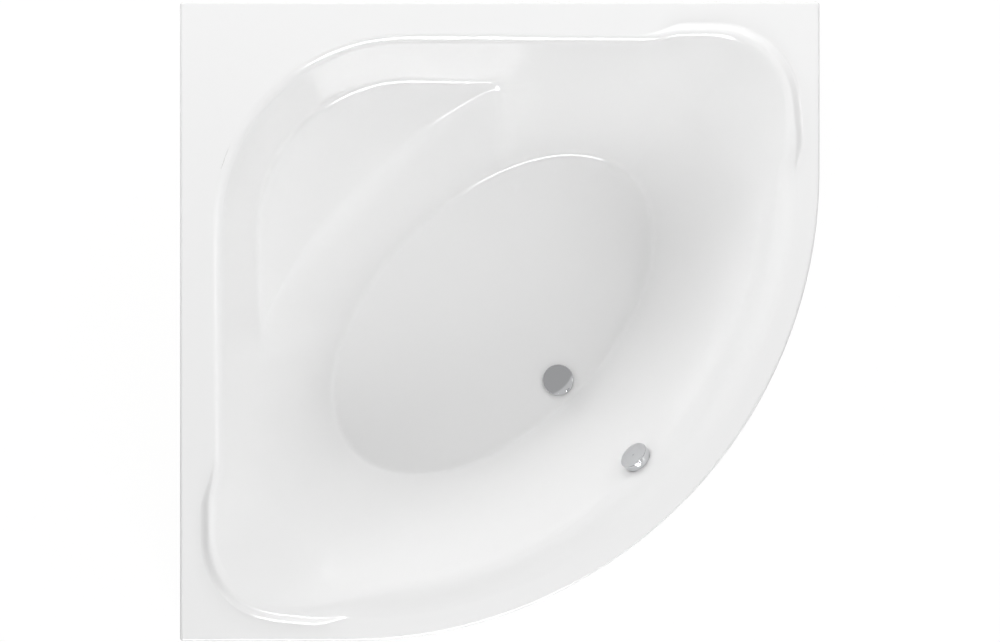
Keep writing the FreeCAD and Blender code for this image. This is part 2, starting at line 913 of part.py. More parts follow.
def trap_bend():
    """One pipe: down, round under the floor, up and out towards the wall corner."""
    points = [
        trap_start,
        at(drain_along, 0, trap_low),
        at(rising_along, 0, trap_low),
        at(rising_along, 0, trap_out_height),
        at(trap_end_along, 0, trap_out_height),
    ]
    u_bend = trap_bend_radius - tiny
    bends = [u_bend, u_bend, trap_bend_radius]
    pipe = bent_tube(points, bends, trap_radius, trap_radius - trap_wall)
    bore = trap_radius - trap_wall
    collar_radius = waste_outlet_radius - collar_clearance
    collar = tube(collar_radius, bore, -collar_thickness, 0, trap_start)
    thread_start = at(trap_end_along, 0, trap_out_height)
    thread = tube(waste_outlet_radius, bore, 0, trap_thread_length, thread_start, along_axis)
    return trap_turned(fused(pipe, collar, thread))


def outlet_pipe():
    """Straight pipe that leaves the trap; its free end takes the house's waste pipe."""
    start = at(trap_end_along, 0, trap_out_height)
    bore = trap_radius - trap_wall
    back = along_axis * -1
    neck = tube(trap_radius, bore, 0, outlet_neck_length, start, back)
    pipe = tube(outlet_radius, bore, outlet_neck_length, outlet_length, start, back)
    collar_radius = waste_outlet_radius - collar_clearance
    collar = tube(collar_radius, bore, 0, collar_thickness, start, back)
    return trap_turned(fused(pipe, neck, collar))


# ---------------------------------------------------------------- overflow in the front wall


def wall_point(face, along):
    """Point and upward normal of a grid face on the line of symmetry."""
    line = Part.Line(at(along, 0, 0), at(along, 0, 1))
    found = face.Surface.intersect(line)[0]
    point = min((Vector(p.X, p.Y, p.Z) for p in found), key=lambda p: p.z)
    normal = face.normalAt(*face.Surface.parameter(point))
    return point, (normal if normal.z > 0 else normal * -1)


overflow_point, overflow_normal = wall_point(grid_face(grid), overflow_along)
overflow_frame = facing(overflow_point, overflow_normal)
overflow_back = overflow_spot_depth - laminate_depth
overflow_gasket_back = overflow_back - gasket_thickness
overflow_flange_back = overflow_gasket_back - waste_flange_thickness
overflow_chamber_back = overflow_flange_back - overflow_chamber_depth
overflow_middle = overflow_flange_back - overflow_chamber_depth / 2
neck_radius = overflow_hole_radius - overflow_neck_clearance
neck_back = overflow_flange_back - overflow_neck_grip
side = Vector(1, 0, 0)
down_slope = Vector(0, 1, 0)


def overflow_cutters():
    """What the overflow takes out of the front wall: plane seats on both faces, and the hole."""
    ring_seat = cylinder(overflow_ring_radius + seat_margin, -overflow_spot_depth, cutter_reach)
    back_seat = cylinder(gasket_radius, overflow_back - cutter_reach, overflow_back)
    hole = cylinder(overflow_hole_radius, -laminate_depth - cutter_reach, cutter_reach)
    return [placed(cutter, overflow_frame) for cutter in (ring_seat, back_seat, hole)]


def overflow_gasket():
    radius = gasket_radius - seat_margin
    ring = tube(radius, overflow_hole_radius, overflow_gasket_back, overflow_back)
    return placed(ring, overflow_frame)


def overflow_body():
    """Plastic elbow behind the wall, with a socket down the slope and a gland for the cable."""
    flange_size = gasket_radius - seat_margin
    flange = cylinder(flange_size, overflow_flange_back, overflow_gasket_back)
    chamber = cylinder(overflow_chamber_radius, overflow_chamber_back, overflow_flange_back)
    middle = Vector(0, 0, overflow_middle)
    socket_radius = overflow_pipe_radius + waste_wall
    socket_end = overflow_chamber_radius + socket_length
    socket = cylinder(socket_radius, 0, socket_end, middle, down_slope)
    gland_reach = overflow_chamber_radius + gland_length
    gland = cylinder(gland_radius, 0, gland_reach, middle, side)
    body = fused(flange, chamber, socket, gland)
    inside = overflow_chamber_radius - waste_wall
    body = body.cut(cylinder(inside, overflow_chamber_back + waste_wall, overflow_flange_back))
    body = body.cut(cylinder(neck_radius + thread_clearance, overflow_flange_back, 0))
    pipe_seat = overflow_chamber_radius
    pipe_bore = overflow_pipe_radius + running_clearance
    body = body.cut(cylinder(pipe_bore, pipe_seat, socket_end, middle, down_slope))
    bore = overflow_pipe_radius - overflow_pipe_wall
    body = body.cut(cylinder(bore, 0, pipe_seat, middle, down_slope))
    cable_bore = cable_radius + running_clearance
    cable_seat = overflow_chamber_radius + gland_stop
    body = body.cut(cylinder(cable_bore, cable_seat, gland_reach, middle, side))
    return placed(body, overflow_frame)


def overflow_ring():
    """Ring on the inner face of the wall; its neck screws into the body and guides the spindle."""
    front = overflow_ring_thickness - overflow_spot_depth
    ring = cylinder(overflow_ring_radius, -overflow_spot_depth, front)
    neck = cylinder(neck_radius, neck_back, -overflow_spot_depth)
    bore = neck_radius - overflow_neck_wall
    ring = fused(ring, neck).cut(cylinder(bore, neck_back, front))
    guide = stem_guide(
        spindle_radius + running_clearance,
        guide_boss_radius,
        neck_back,
        neck_back + guide_height,
        bore + overflow_neck_wall / 2,
    )
    return placed(fused(ring, guide), overflow_frame)


knob_bottom = knob_skirt_gap
knob_top = knob_bottom + knob_height
spindle_seat = knob_top - knob_wall - spindle_cover


def pointer_groove():
    """Wedge that cuts the pointer: a groove down the knob's side, widest at its face."""
    outside = -knob_radius - groove_foot_gap
    left = Vector(-groove_width / 2, outside, knob_top)
    right = Vector(groove_width / 2, outside, knob_top)
    valley = Vector(0, groove_depth - knob_radius, knob_top)
    foot = Vector(0, outside, knob_bottom + groove_foot_gap)
    sides = [(left, right, valley), (left, right, foot), (left, valley, foot), (right, valley, foot)]
    return closed_solid([Part.Face(Part.makePolygon([*side, side[0]])) for side in sides])


def overflow_knob():
    """Flat chrome knob, hollow behind, with a boss for the spindle and a groove as its pointer."""
    knob = dome(knob_radius, knob_bottom, knob_height, knob_edge, knob_round)
    inside_edge = knob_edge - knob_wall
    inside_height = knob_height - knob_wall
    hollow = dome(knob_radius - knob_wall, knob_bottom, inside_height, inside_edge, knob_round)
    knob = knob.cut(hollow)
    boss = cylinder(guide_boss_radius, knob_bottom + knob_boss_inset, knob_top - knob_wall)
    knob = fused(knob, boss)
    knob = knob.cut(cylinder(spindle_radius, knob_bottom, spindle_seat))
    return placed(knob.cut(pointer_groove()), overflow_frame)


def knob_spindle():
    """Shaft of the knob, with the drum that pulls the cable."""
    drum_back = overflow_middle - spindle_drum_length / 2
    shaft = cylinder(spindle_radius, drum_back, spindle_seat)
    drum = cylinder(spindle_drum_radius, drum_back, drum_back + spindle_drum_length)
    return placed(fused(shaft, drum), overflow_frame)


# ---------------------------------------------------------------- overflow pipe and cable


def from_overflow(x, y, z):
    return overflow_frame.multVec(Vector(x, y, z))


slope_direction = overflow_frame.Rotation.multVec(down_slope)
pipe_top = from_overflow(0, overflow_chamber_radius, overflow_middle)
pipe_upper_corner = pipe_top + slope_direction * overflow_pipe_run
pipe_lower_corner = Vector(pipe_upper_corner.x, pipe_upper_corner.y, port_height)
pipe_foot = drain_point + up * port_height + along_axis * chamber_radius


def overflow_pipe():
    """Pipe down the wall, upright to the height of the waste's port, and in to it."""
    bore = overflow_pipe_radius - overflow_pipe_wall
    points = [pipe_top, pipe_upper_corner, pipe_lower_corner, pipe_foot]
    bends = [overflow_pipe_bend, overflow_pipe_bend]
    return bent_tube(points, bends, overflow_pipe_radius, bore)


def pipe_nut(centre, direction):
    """Small nut on the overflow pipe, against the end of its socket."""
    bore = overflow_pipe_radius + running_clearance
    return tube(small_nut_radius, bore, 0, small_nut_height, centre, direction)


def overflow_pipe_nuts():
    top = pipe_top + slope_direction * socket_length
    foot = pipe_foot + along_axis * port_length
    return [pipe_nut(top, slope_direction), pipe_nut(foot, along_axis)]


def bowden_cable():
    """Cable sheath from the knob's housing down the wall to the waste, held at both glands."""
    side_reach = overflow_chamber_radius + gland_length + cable_side_run
    foot_reach = gland_end + cable_foot_run
    top = from_overflow(overflow_chamber_radius + gland_stop, 0, overflow_middle)
    upper_corner = from_overflow(side_reach, 0, overflow_middle)
    lower_corner = cable_port + cable_port_direction * foot_reach
    foot = cable_port + cable_port_direction * gland_start
    points = [top, upper_corner, lower_corner, foot]
    return bent_tube(points, [cable_bend, cable_bend], cable_radius, 0)


# ---------------------------------------------------------------- boards, battens and steel

seat_back_along = basin_centre_along - reach(area_at_rim, math.pi / 2) + seat_wall_run
seat_middle_along = (seat_front_along + seat_back_along) / 2
seat_board_top = deck_height - seat_drop - laminate_depth - bond_gap
seat_board_bottom = seat_board_top - seat_board_thickness


def ellipse_plate(half_across, half_along, bottom, top):
    oval = Part.Ellipse(Vector(0, 0, bottom), half_across, half_along)
    face = Part.Face(Part.Wire(oval.toShape()))
    centre = Placement(at(basin_centre_along, 0, 0), Rotation(up, 45))
    return placed(face.extrude(up * (top - bottom)), centre)


def rail_screw_heads(side_sign):
    heads = []
    for offset in (-rail_screw_spread, rail_screw_spread):
        for sideways in (-rail_width / 4, rail_width / 4):
            across = side_sign * rail_offset + sideways
            heads.append(at(basin_centre_along + offset, across, rail_web_bottom))
    return heads


def seat_screw_heads():
    spread = seat_leg_plate / 2 - screw_head_radius - screw_edge_margin
    height = seat_board_bottom - seat_leg_plate_thickness
    return [
        at(seat_middle_along + x * spread, y * spread, height) for x in (-1, 1) for y in (-1, 1)
    ]


all_rail_heads = rail_screw_heads(1) + rail_screw_heads(-1)


def base_board():
    board = ellipse_plate(
        floor_half_across - base_board_inset,
        floor_half_along - base_board_inset,
        base_board_bottom,
        base_board_top,
    )
    notch = cylinder(waste_notch_radius, base_board_bottom, base_board_top, drain_point)
    holes = [screw_hole(head, up) for head in all_rail_heads]
    return without(board.cut(notch), holes)


def seat_board():
    x = seat_board_width / 2
    y = seat_board_length / 2
    board = block(-x, x, -y, y, seat_board_bottom, seat_board_top)
    board = placed(board, along_frame(seat_middle_along, 0, 0))
    return without(board, [screw_hole(head, up) for head in seat_screw_heads()])


batten_side = half_side - acrylic_thickness - batten_side_gap
batten_end = half_side - batten_end_gap
batten_bottom = deck_underside - batten_height
bracket_screw_spread = bracket_width / 4
bracket_screw_y = batten_side - bracket_thickness - batten_width / 2


def bracket_heads():
    """Heads of the back brackets' screws, up into the batten."""
    height = batten_bottom - bracket_thickness
    return [
        Vector(middle + shift, bracket_screw_y, height)
        for middle in (-bracket_offset, bracket_offset)
        for shift in (-bracket_screw_spread, bracket_screw_spread)
    ]


def rim_batten_back():
    low_y = batten_side - batten_width
    batten = block(-batten_end, batten_end, low_y, batten_side, batten_bottom, deck_underside)
    return without(batten, [screw_hole(head, up) for head in bracket_heads()])


def wall_bracket(middle):
    """Folded strip: under the batten, down inside the skirt, and out to lie on the wall."""
    left = middle - bracket_width / 2
    right = middle + bracket_width / 2
    t = bracket_thickness
    top = batten_bottom
    step = deck_height - skirt_depth - bracket_step_gap
    inner = batten_side - t
    seat = block(left, right, batten_side - batten_width, batten_side, top - t, top)
    drop = block(left, right, inner, batten_side, step - t, top)
    joggle = block(left, right, inner, half_side, step - t, step)
    leg = block(left, right, half_side - t, half_side, step - bracket_leg, step)
    hole_centre = Vector(middle, half_side, step - bracket_leg / 2)
    bracket = fused(seat, drop, joggle, leg)
    bracket = bracket.cut(
        cylinder(bracket_hole_radius, -2 * t, t, hole_centre, Vector(0, 1, 0))
    )
    return without(bracket, [screw_hole(head, up) for head in bracket_heads()])


def leg_rail(side_sign):
    """Steel channel, open downwards, under the base board."""
    half = rail_width / 2
    outer = block(-rail_length / 2, rail_length / 2, -half, half, rail_top - rail_height, rail_top)
    inner = block(
        -rail_length / 2,
        rail_length / 2,
        rail_wall - half,
        half - rail_wall,
        rail_top - rail_height,
        rail_web_bottom,
    )
    rail = placed(outer.cut(inner), along_frame(basin_centre_along, side_sign * rail_offset, 0))
    holes = [screw_hole(head, up) for head in rail_screw_heads(side_sign)]
    holes += [stud_hole(along, side_sign * rail_offset) for along in rail_feet_along]
    holes.append(screw_hole(arm_bolt(side_sign), up * -1))
    return without(rail, holes)


foot_spread = rail_length / 2 - foot_end_gap
rail_feet_along = (basin_centre_along - foot_spread, basin_centre_along + foot_spread)
FEET = {
    "back_left": (rail_feet_along[0], -rail_offset),
    "back_right": (rail_feet_along[0], rail_offset),
    "front_left": (rail_feet_along[1], -rail_offset),
    "front_right": (rail_feet_along[1], rail_offset),
    "seat": (seat_middle_along, 0),
}


def stud_hole(along, across):
    radius = stud_radius + stud_hole_clearance
    centre = at(along, across, 0)
    return cylinder(radius, rail_web_bottom - cutter_reach, rail_top + cutter_reach, centre)


def foot_stud(along, across):
    bottom = pad_height - pad_socket_depth
    top = rail_top + nut_height + stud_above_nut
    return cylinder(stud_radius, bottom, top, at(along, across, 0))


def foot_pad(along, across):
    """Round plastic foot with a socket for the stud."""
    centre = at(along, across, 0)
    base = cylinder(pad_radius, 0, pad_base_height, centre)
    wide = pad_radius - pad_shoulder
    narrow = stud_radius + pad_socket_wall
    neck_foot = centre + up * pad_base_height
    neck = Part.makeCone(wide, narrow, pad_height - pad_base_height, neck_foot)
    socket_bottom = pad_height - pad_socket_depth
    return fused(base, neck).cut(cylinder(stud_radius, socket_bottom, pad_height, centre))


def hexagon_nut(along, across, bottom):
    corners = [
        Vector(math.cos(math.radians(60 * turn)), math.sin(math.radians(60 * turn)), 0)
        * (nut_width / math.sqrt(3))
        for turn in range(7)
    ]
    nut = Part.Face(Part.makePolygon(corners)).extrude(up * nut_height)
    nut = nut.cut(cylinder(stud_radius + thread_clearance, 0, nut_height))
    nut.translate(at(along, across, bottom))
    return nut


def foot_nuts():
    """Two nuts on each foot, one under and one over the steel."""
    return [
        hexagon_nut(along, across, bottom)
        for along, across in FEET.values()
        for bottom in (rail_web_bottom - nut_height, rail_top)
    ]


def seat_leg():
    """Square tube with a plate under the seat board and a bored plate at its foot."""
    half = seat_leg_tube / 2
    inner = half - seat_leg_wall
    plate_bottom = seat_board_bottom - seat_leg_plate_thickness
    outside = block(-half, half, -half, half, rail_web_bottom, plate_bottom)
    hollow = block(-inner, inner, -inner, inner, rail_top, plate_bottom)
    edge = seat_leg_plate / 2
    top_plate = block(-edge, edge, -edge, edge, plate_bottom, seat_board_bottom)
    leg = fused(outside.cut(hollow), top_plate)
    leg = placed(leg, along_frame(seat_middle_along, 0, 0))
    holes = [screw_hole(head, up) for head in seat_screw_heads()]
    return without(leg, holes + [stud_hole(seat_middle_along, 0)])


# ---------------------------------------------------------------- apron

panel_outer_inset = acrylic_thickness + panel_side_gap
panel_inner_inset = panel_outer_inset + panel_thickness
panel_top = deck_underside - panel_top_gap


def front_band(outer_inset, inner_inset, bottom, top):
    """Upright band that follows the free sides of the rim between two insets."""
    corner = panel_corner_radius
    outer = Part.Face(outline_wire(outer_inset, outer_inset, corner, corner, bottom))
    inner = Part.Face(outline_wire(-cutter_reach, inner_inset, corner, corner, bottom))
    return outer.cut(inner).extrude(up * (top - bottom))


def front_frame(angle, height):
    """Placement at the centre of the front arc: X out towards the apron, Y along it."""
    return Placement(Vector(arc_centre.x, arc_centre.y, height), Rotation(up, angle))


rail_end_along = basin_centre_along + rail_length / 2
arm_bolt_along = rail_end_along - arm_bolt_inset
arm_angle = math.degrees(math.atan2(rail_offset, arm_bolt_along - arc_along))
arm_start = math.hypot(rail_offset, arm_bolt_along - arc_along)
arm_reach = front_radius - panel_inner_inset - clip_gap
arm_top = rail_top + arm_thickness


def arm_bolt(side_sign):
    return at(arm_bolt_along, side_sign * rail_offset, arm_top)


def arm_frame(side_sign):
    return front_frame(side_sign * arm_angle - 45, 0)


def panel_arm(side_sign):
    """Flat strip from the rail out to the apron, with a tab turned down behind the apron."""
    half = arm_width / 2
    strip = block(arm_start - arm_lap, arm_reach, -half, half, rail_top, arm_top)
    tab_bottom = arm_top - arm_tab_height
    tab = block(arm_reach - arm_thickness, arm_reach, -half, half, tab_bottom, arm_top)
    arm = placed(fused(strip, tab), arm_frame(side_sign))
    return without(arm, [screw_hole(arm_bolt(side_sign), up * -1), panel_screw_hole(side_sign)])


def panel_screw_head(side_sign):
    height = arm_top - arm_screw_drop
    frame = arm_frame(side_sign)
    outside = frame.multVec(Vector(front_radius - panel_outer_inset, 0, height))
    inward = frame.Rotation.multVec(Vector(-1, 0, 0))
    return outside, inward


def panel_screw_hole(side_sign):
    return screw_hole(*panel_screw_head(side_sign))


def front_panel():
    """Apron: an upright wall with a return at its foot."""
    wall = front_band(panel_outer_inset, panel_inner_inset, panel_floor_gap, panel_top)
    return_inset = panel_inner_inset + panel_foot_roll
    foot_top = panel_floor_gap + panel_thickness
    foot = front_band(panel_outer_inset, return_inset, panel_floor_gap, foot_top)
    return without(fused(wall, foot), [panel_screw_hole(sign) for sign in (1, -1)])


def block_frames():
    return [front_frame(angle, 0) for angle in CLIP_ANGLES]


clip_outer = front_radius - panel_inner_inset - clip_gap
clip_inner = clip_outer - clip_thickness


def panel_block(frame):
    """Wood block under the deck behind the apron."""
    half = block_length / 2
    low = deck_underside - block_height
    piece = block(clip_inner - block_width, clip_inner, -half, half, low, deck_underside)
    return placed(piece, frame)


def panel_clip(frame):
    """Spring strip on the block, with a finger over the apron's top edge."""
    half = clip_width / 2
    finger_bottom = panel_top + clip_gap
    finger_top = finger_bottom + clip_thickness
    low = deck_underside - block_height
    strip = block(clip_inner, clip_outer, -half, half, low, finger_top)
    reach = clip_outer + panel_thickness
    finger = block(clip_inner, reach, -half, half, finger_bottom, finger_top)
    return placed(fused(strip, finger), frame)


def panel_screws():
    screws = [wood_screw(*panel_screw_head(sign)) for sign in (1, -1)]
    return screws + [wood_screw(arm_bolt(sign), up * -1) for sign in (1, -1)]


# ---------------------------------------------------------------- all the nodes

os.makedirs("parts", exist_ok=True)

shell_cutters = list(waste_cutters()) + overflow_cutters()
write("bath_shell", without(bath_shell(), shell_cutters))
write("glassfibre_backing", without(glassfibre_backing(), shell_cutters))

write("base_board", base_board())
write("seat_board", seat_board())
write("rim_batten_back", rim_batten_back())
write("rim_batten_left", mirrored(rim_batten_back()))
back_brackets = [wall_bracket(middle) for middle in (-bracket_offset, bracket_offset)]
back_bracket_screws = [wood_screw(head, up) for head in bracket_heads()]
write("wall_brackets_back", *back_brackets)
write("wall_brackets_left", *[mirrored(bracket) for bracket in back_brackets])
write("bracket_screws", *back_bracket_screws, *[mirrored(screw) for screw in back_bracket_screws])

write("leg_rail_left", leg_rail(-1))
write("leg_rail_right", leg_rail(1))
write("rail_screws", *[wood_screw(head, up) for head in all_rail_heads])
write("seat_leg", seat_leg())
write("seat_leg_screws", *[wood_screw(head, up) for head in seat_screw_heads()])
for name, place in FEET.items():
    write("foot_stud_" + name, foot_stud(*place))
    write("foot_pad_" + name, foot_pad(*place))
write("foot_nuts", *foot_nuts())

write("drain_flange", drain_flange())
write("drain_gasket_upper", waste_gasket(spot_height))
write("drain_gasket_lower", waste_gasket(waste_gasket_bottom))
write("drain_body", drain_body())
write("plug_cap", plug_cap())
write("plug_seal", plug_seal())
write("plug_stem", plug_stem())
write("lift_lever", lift_lever())
write("lever_pin", lever_pin_at(0))

write("trap_bend", trap_bend())
trap_end = Placement(at(trap_end_along, 0, trap_out_height), Rotation(up, along_axis))
write("trap_inlet_nut", trap_turned(union_nut(Placement(trap_start, Rotation()))))
write("trap_outlet_nut", trap_turned(union_nut(trap_end)))
write("outlet_pipe", outlet_pipe())

write("overflow_body", overflow_body())
write("overflow_gasket", overflow_gasket())
write("overflow_ring", overflow_ring())
write("overflow_knob", overflow_knob())
write("knob_spindle", knob_spindle())
write("overflow_pipe", overflow_pipe())
write("overflow_pipe_nuts", *overflow_pipe_nuts())
write("bowden_cable", bowden_cable())

write("front_panel", front_panel())
write("panel_blocks", *[panel_block(frame) for frame in block_frames()])
write("panel_clips", *[panel_clip(frame) for frame in block_frames()])
write("panel_arms", panel_arm(1), panel_arm(-1))
write("panel_screws", *panel_screws())
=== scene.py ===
"""Corner bathtub in a plain studio: finishes for every part, and the turned and cut pieces."""

import json
import logging
import math
from dataclasses import dataclass
from enum import Enum
from typing import Iterable, Sequence

import bmesh
import bpy
from mathutils import Matrix, Vector


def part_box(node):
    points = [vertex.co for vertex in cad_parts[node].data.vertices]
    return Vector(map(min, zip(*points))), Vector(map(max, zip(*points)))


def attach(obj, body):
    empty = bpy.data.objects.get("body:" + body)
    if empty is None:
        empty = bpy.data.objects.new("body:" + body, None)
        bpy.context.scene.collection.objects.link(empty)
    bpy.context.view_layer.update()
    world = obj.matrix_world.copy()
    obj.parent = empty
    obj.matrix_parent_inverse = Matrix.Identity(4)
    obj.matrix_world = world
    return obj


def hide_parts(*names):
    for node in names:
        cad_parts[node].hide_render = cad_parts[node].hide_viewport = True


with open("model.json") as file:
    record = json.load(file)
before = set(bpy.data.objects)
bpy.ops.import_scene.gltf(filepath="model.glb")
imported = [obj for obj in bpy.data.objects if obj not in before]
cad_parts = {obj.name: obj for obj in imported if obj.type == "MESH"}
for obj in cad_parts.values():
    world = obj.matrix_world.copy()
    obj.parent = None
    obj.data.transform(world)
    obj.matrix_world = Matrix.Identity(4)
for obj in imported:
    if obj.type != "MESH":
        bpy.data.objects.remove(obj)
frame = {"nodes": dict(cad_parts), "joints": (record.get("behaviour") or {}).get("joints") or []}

Tree = bpy.types.NodeTree
Node = bpy.types.Node
Socket = bpy.types.NodeSocket
Form = bmesh.types.BMesh
Profile = Sequence[tuple[float, float]]
Stops = Sequence[tuple[float, str]]

log = logging.getLogger("bathtub")
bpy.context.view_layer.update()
MM = 0.001
WELD = 1e-6
UP = Vector((0, 0, 1))
ALONG = Vector((1, -1, 0)).normalized()
ACROSS = Vector((1, 1, 0)).normalized()
WALL_CORNER = Vector((-0.7, 0.7, 0))
# Centre of the arc that the curved front follows
FRONT_CENTRE = Vector((-0.328, 0.328, 0))
FEET = ("back_left", "back_right", "front_left", "front_right", "seat")


# ------------------------------------------------------------------ shading tools


def linear(colour: str) -> tuple[float, float, float, float]:
    """Linear colour of an sRGB hex value.

    Args:
        colour: six hex digits with a leading #.

    Returns:
        Red, green, blue and an alpha of one.
    """
    parts = [int(colour[i : i + 2], 16) / 255 for i in (1, 3, 5)]
    values = [c / 12.92 if c <= 0.04045 else ((c + 0.055) / 1.055) ** 2.4 for c in parts]
    return (*values, 1.0)


def per_mm(size: float) -> float:
    """Texture scale whose features are this many millimetres wide."""
    return 1 / (size * MM)


def between(low: float, high: float, start: float = 0.3, end: float = 0.7) -> dict[str, float]:
    """Inputs of a map range, by default over the span that a noise pattern really fills.

    Args:
        low: value at the start.
        high: value at the end.
        start: pattern value that gives the low value.
        end: pattern value that gives the high value.

    Returns:
        Socket names and their values.
    """
    return {"From Min": start, "From Max": end, "To Min": low, "To Max": high}


def add(tree: Tree, kind: str, inputs: dict | None = None, stops: Stops = (), **settings) -> Node:
    """Adds a node, sets it up and links it.

    Args:
        tree: the node tree.
        kind: the node's type without its ShaderNode prefix.
        inputs: socket name or number to a value, or to the socket that feeds it.
        stops: on a colour ramp, position and sRGB hex colour of each stop.
        **settings: the node's own properties.

    Returns:
        The new node.
    """
    node = tree.nodes.new("ShaderNode" + kind)
    for name, value in settings.items():
        setattr(node, name, value)
    for key, value in (inputs or {}).items():
        if isinstance(value, bpy.types.NodeSocket):
            tree.links.new(value, node.inputs[key])
        else:
            node.inputs[key].default_value = value
    if stops:
        elements = node.color_ramp.elements
        elements[0].position, elements[0].color = stops[0][0], linear(stops[0][1])
        elements[1].position, elements[1].color = stops[-1][0], linear(stops[-1][1])
        for position, colour in stops[1:-1]:
            elements.new(position).color = linear(colour)
    return node


@dataclass(frozen=True)
class Surface:
    """A material in the making: its node tree, its shader and the coordinates of its pattern."""

    tree: Tree
    shader: Node
    place: Socket

    def scaled(self, size_mm: float, **inputs: float) -> dict:
        """Inputs of a pattern on this surface, with features this many millimetres wide."""
        return {"Vector": self.place, "Scale": per_mm(size_mm), **inputs}

    def feed(self, name: str, source: Socket) -> None:
        """Links a socket to the shader's input of this name."""
        self.tree.links.new(source, self.shader.inputs[name])


@dataclass(frozen=True)
class Finish:
    """What a surface is made of and how it was made."""

    name: str
    slot: str
    colour: str
    roughness: float
    metallic: float = 0.0
    ior: float = 1.5

    def material(self) -> bpy.types.Material:
        """Makes the finish's material on first use.

        Returns:
            The material.
        """
        made = bpy.data.materials.get(self.name)
        if made:
            return made
        made = bpy.data.materials.new(self.name)
        made.use_nodes = True
        tree = made.node_tree
        shader = tree.nodes["Principled BSDF"]
        shader.inputs["Base Color"].default_value = linear(self.colour)
        shader.inputs["Roughness"].default_value = self.roughness
        shader.inputs["Metallic"].default_value = self.metallic
        if not self.metallic:
            shader.inputs["IOR"].default_value = self.ior
        self.dress(Surface(tree, shader, add(tree, "TexCoord").outputs["Object"]))
        return made

    def dress(self, surface: Surface) -> None:
        """Adds the finish's own pattern to a surface."""


@dataclass(frozen=True)
class CastAcrylic(Finish):
    """Vacuum-formed cast acrylic: deep gloss, with the slow waviness that forming leaves in it."""

    wave_mm: float = 45.0
    wave_depth_mm: float = 0.12
    haze_mm: float = 130.0
    clearer: float = 0.02
    duller: float = 0.03

    def dress(self, surface: Surface) -> None:
        """Slow waves in the gloss, and a haze of fine wiping marks.

        Args:
            surface: the material in the making.
        """
        tree = surface.tree
        wave = add(tree, "TexNoise", surface.scaled(self.wave_mm, Detail=1.0))
        depth = {"Height": wave.outputs["Fac"], "Distance": self.wave_depth_mm * MM}
        surface.feed("Normal", add(tree, "Bump", depth).outputs["Normal"])
        haze = add(tree, "TexNoise", surface.scaled(self.haze_mm, Detail=4.0))
        span = between(self.roughness - self.clearer, self.roughness + self.duller)
        rough = add(tree, "MapRange", {"Value": haze.outputs["Fac"], **span})
        surface.feed("Roughness", rough.outputs["Result"])


@dataclass(frozen=True)
class SprayedLaminate(Finish):
    """Chopped glass strands sprayed on with resin: creamy, lumpy, half gloss where it pooled."""

    strand_mm: float = 9.0
    strand_bend: float = 2.2
    strand_share: float = 0.35
    lump_mm: float = 26.0
    relief_mm: float = 2.2
    dry: str = "#A79B74"
    pooled: str = "#E4DCC0"

    def dress(self, surface: Surface) -> None:
        """Strands drawn 2 mm wide, coarser than real ones so that they show, over resin lumps.

        Args:
            surface: the material in the making.
        """
        tree = surface.tree
        inputs = surface.scaled(self.lump_mm, Detail=5.0, Roughness=0.6)
        lump = add(tree, "TexNoise", inputs).outputs["Fac"]
        inputs = surface.scaled(self.strand_mm, Detail=3.0, Distortion=self.strand_bend)
        strand = add(tree, "TexNoise", inputs, noise_type="RIDGED_MULTIFRACTAL").outputs["Fac"]
        inputs = {0: strand, 1: self.strand_share, 2: lump}
        height = add(tree, "Math", inputs, operation="MULTIPLY_ADD").outputs["Value"]
        stops = [(0.35, self.dry), (0.55, self.colour), (0.85, self.pooled)]
        surface.feed("Base Color", add(tree, "ValToRGB", {"Fac": height}, stops).outputs["Color"])
        rough = add(tree, "MapRange", {"Value": lump, **between(0.3, 0.75)})
        surface.feed("Roughness", rough.outputs["Result"])
        depth = {"Height": height, "Distance": self.relief_mm * MM}
        surface.feed("Normal", add(tree, "Bump", depth).outputs["Normal"])


@dataclass(frozen=True)
class Chipboard(Finish):
    """Pressed chips, sanded: a close mosaic of light and dark flakes, dull."""

    chip_mm: float = 5.0
    bend_mm: float = 12.0
    bend_reach_mm: float = 6.0
    relief_mm: float = 0.25
    dark: str = "#8F6B41"
    light: str = "#D9BE8C"

    def dress(self, surface: Surface) -> None:
        """Flakes of a few millimetres, each of its own tone.

        Args:
            surface: the material in the making.
        """
        tree = surface.tree
        bend = add(tree, "TexNoise", surface.scaled(self.bend_mm, Detail=2.0))
        inputs = {0: bend.outputs["Color"], 1: (self.bend_reach_mm * MM,) * 3, 2: surface.place}
        bent = add(tree, "VectorMath", inputs, operation="MULTIPLY_ADD").outputs["Vector"]
        chips = add(tree, "TexVoronoi", {"Vector": bent, "Scale": per_mm(self.chip_mm)})
        tone = add(tree, "SeparateColor", {"Color": chips.outputs["Color"]}).outputs["Red"]
        stops = [(0.0, self.dark), (0.45, self.colour), (1.0, self.light)]
        surface.feed("Base Color", add(tree, "ValToRGB", {"Fac": tone}, stops).outputs["Color"])
        depth = {"Height": chips.outputs["Distance"], "Distance": self.relief_mm * MM}
        surface.feed("Normal", add(tree, "Bump", depth).outputs["Normal"])


class Grain(Enum):
    """Turn of the wood's grain about the vertical, in degrees from X."""

    ALONG_X = 0.0
    ALONG_Y = 90.0
    ALONG_FRONT = 45.0


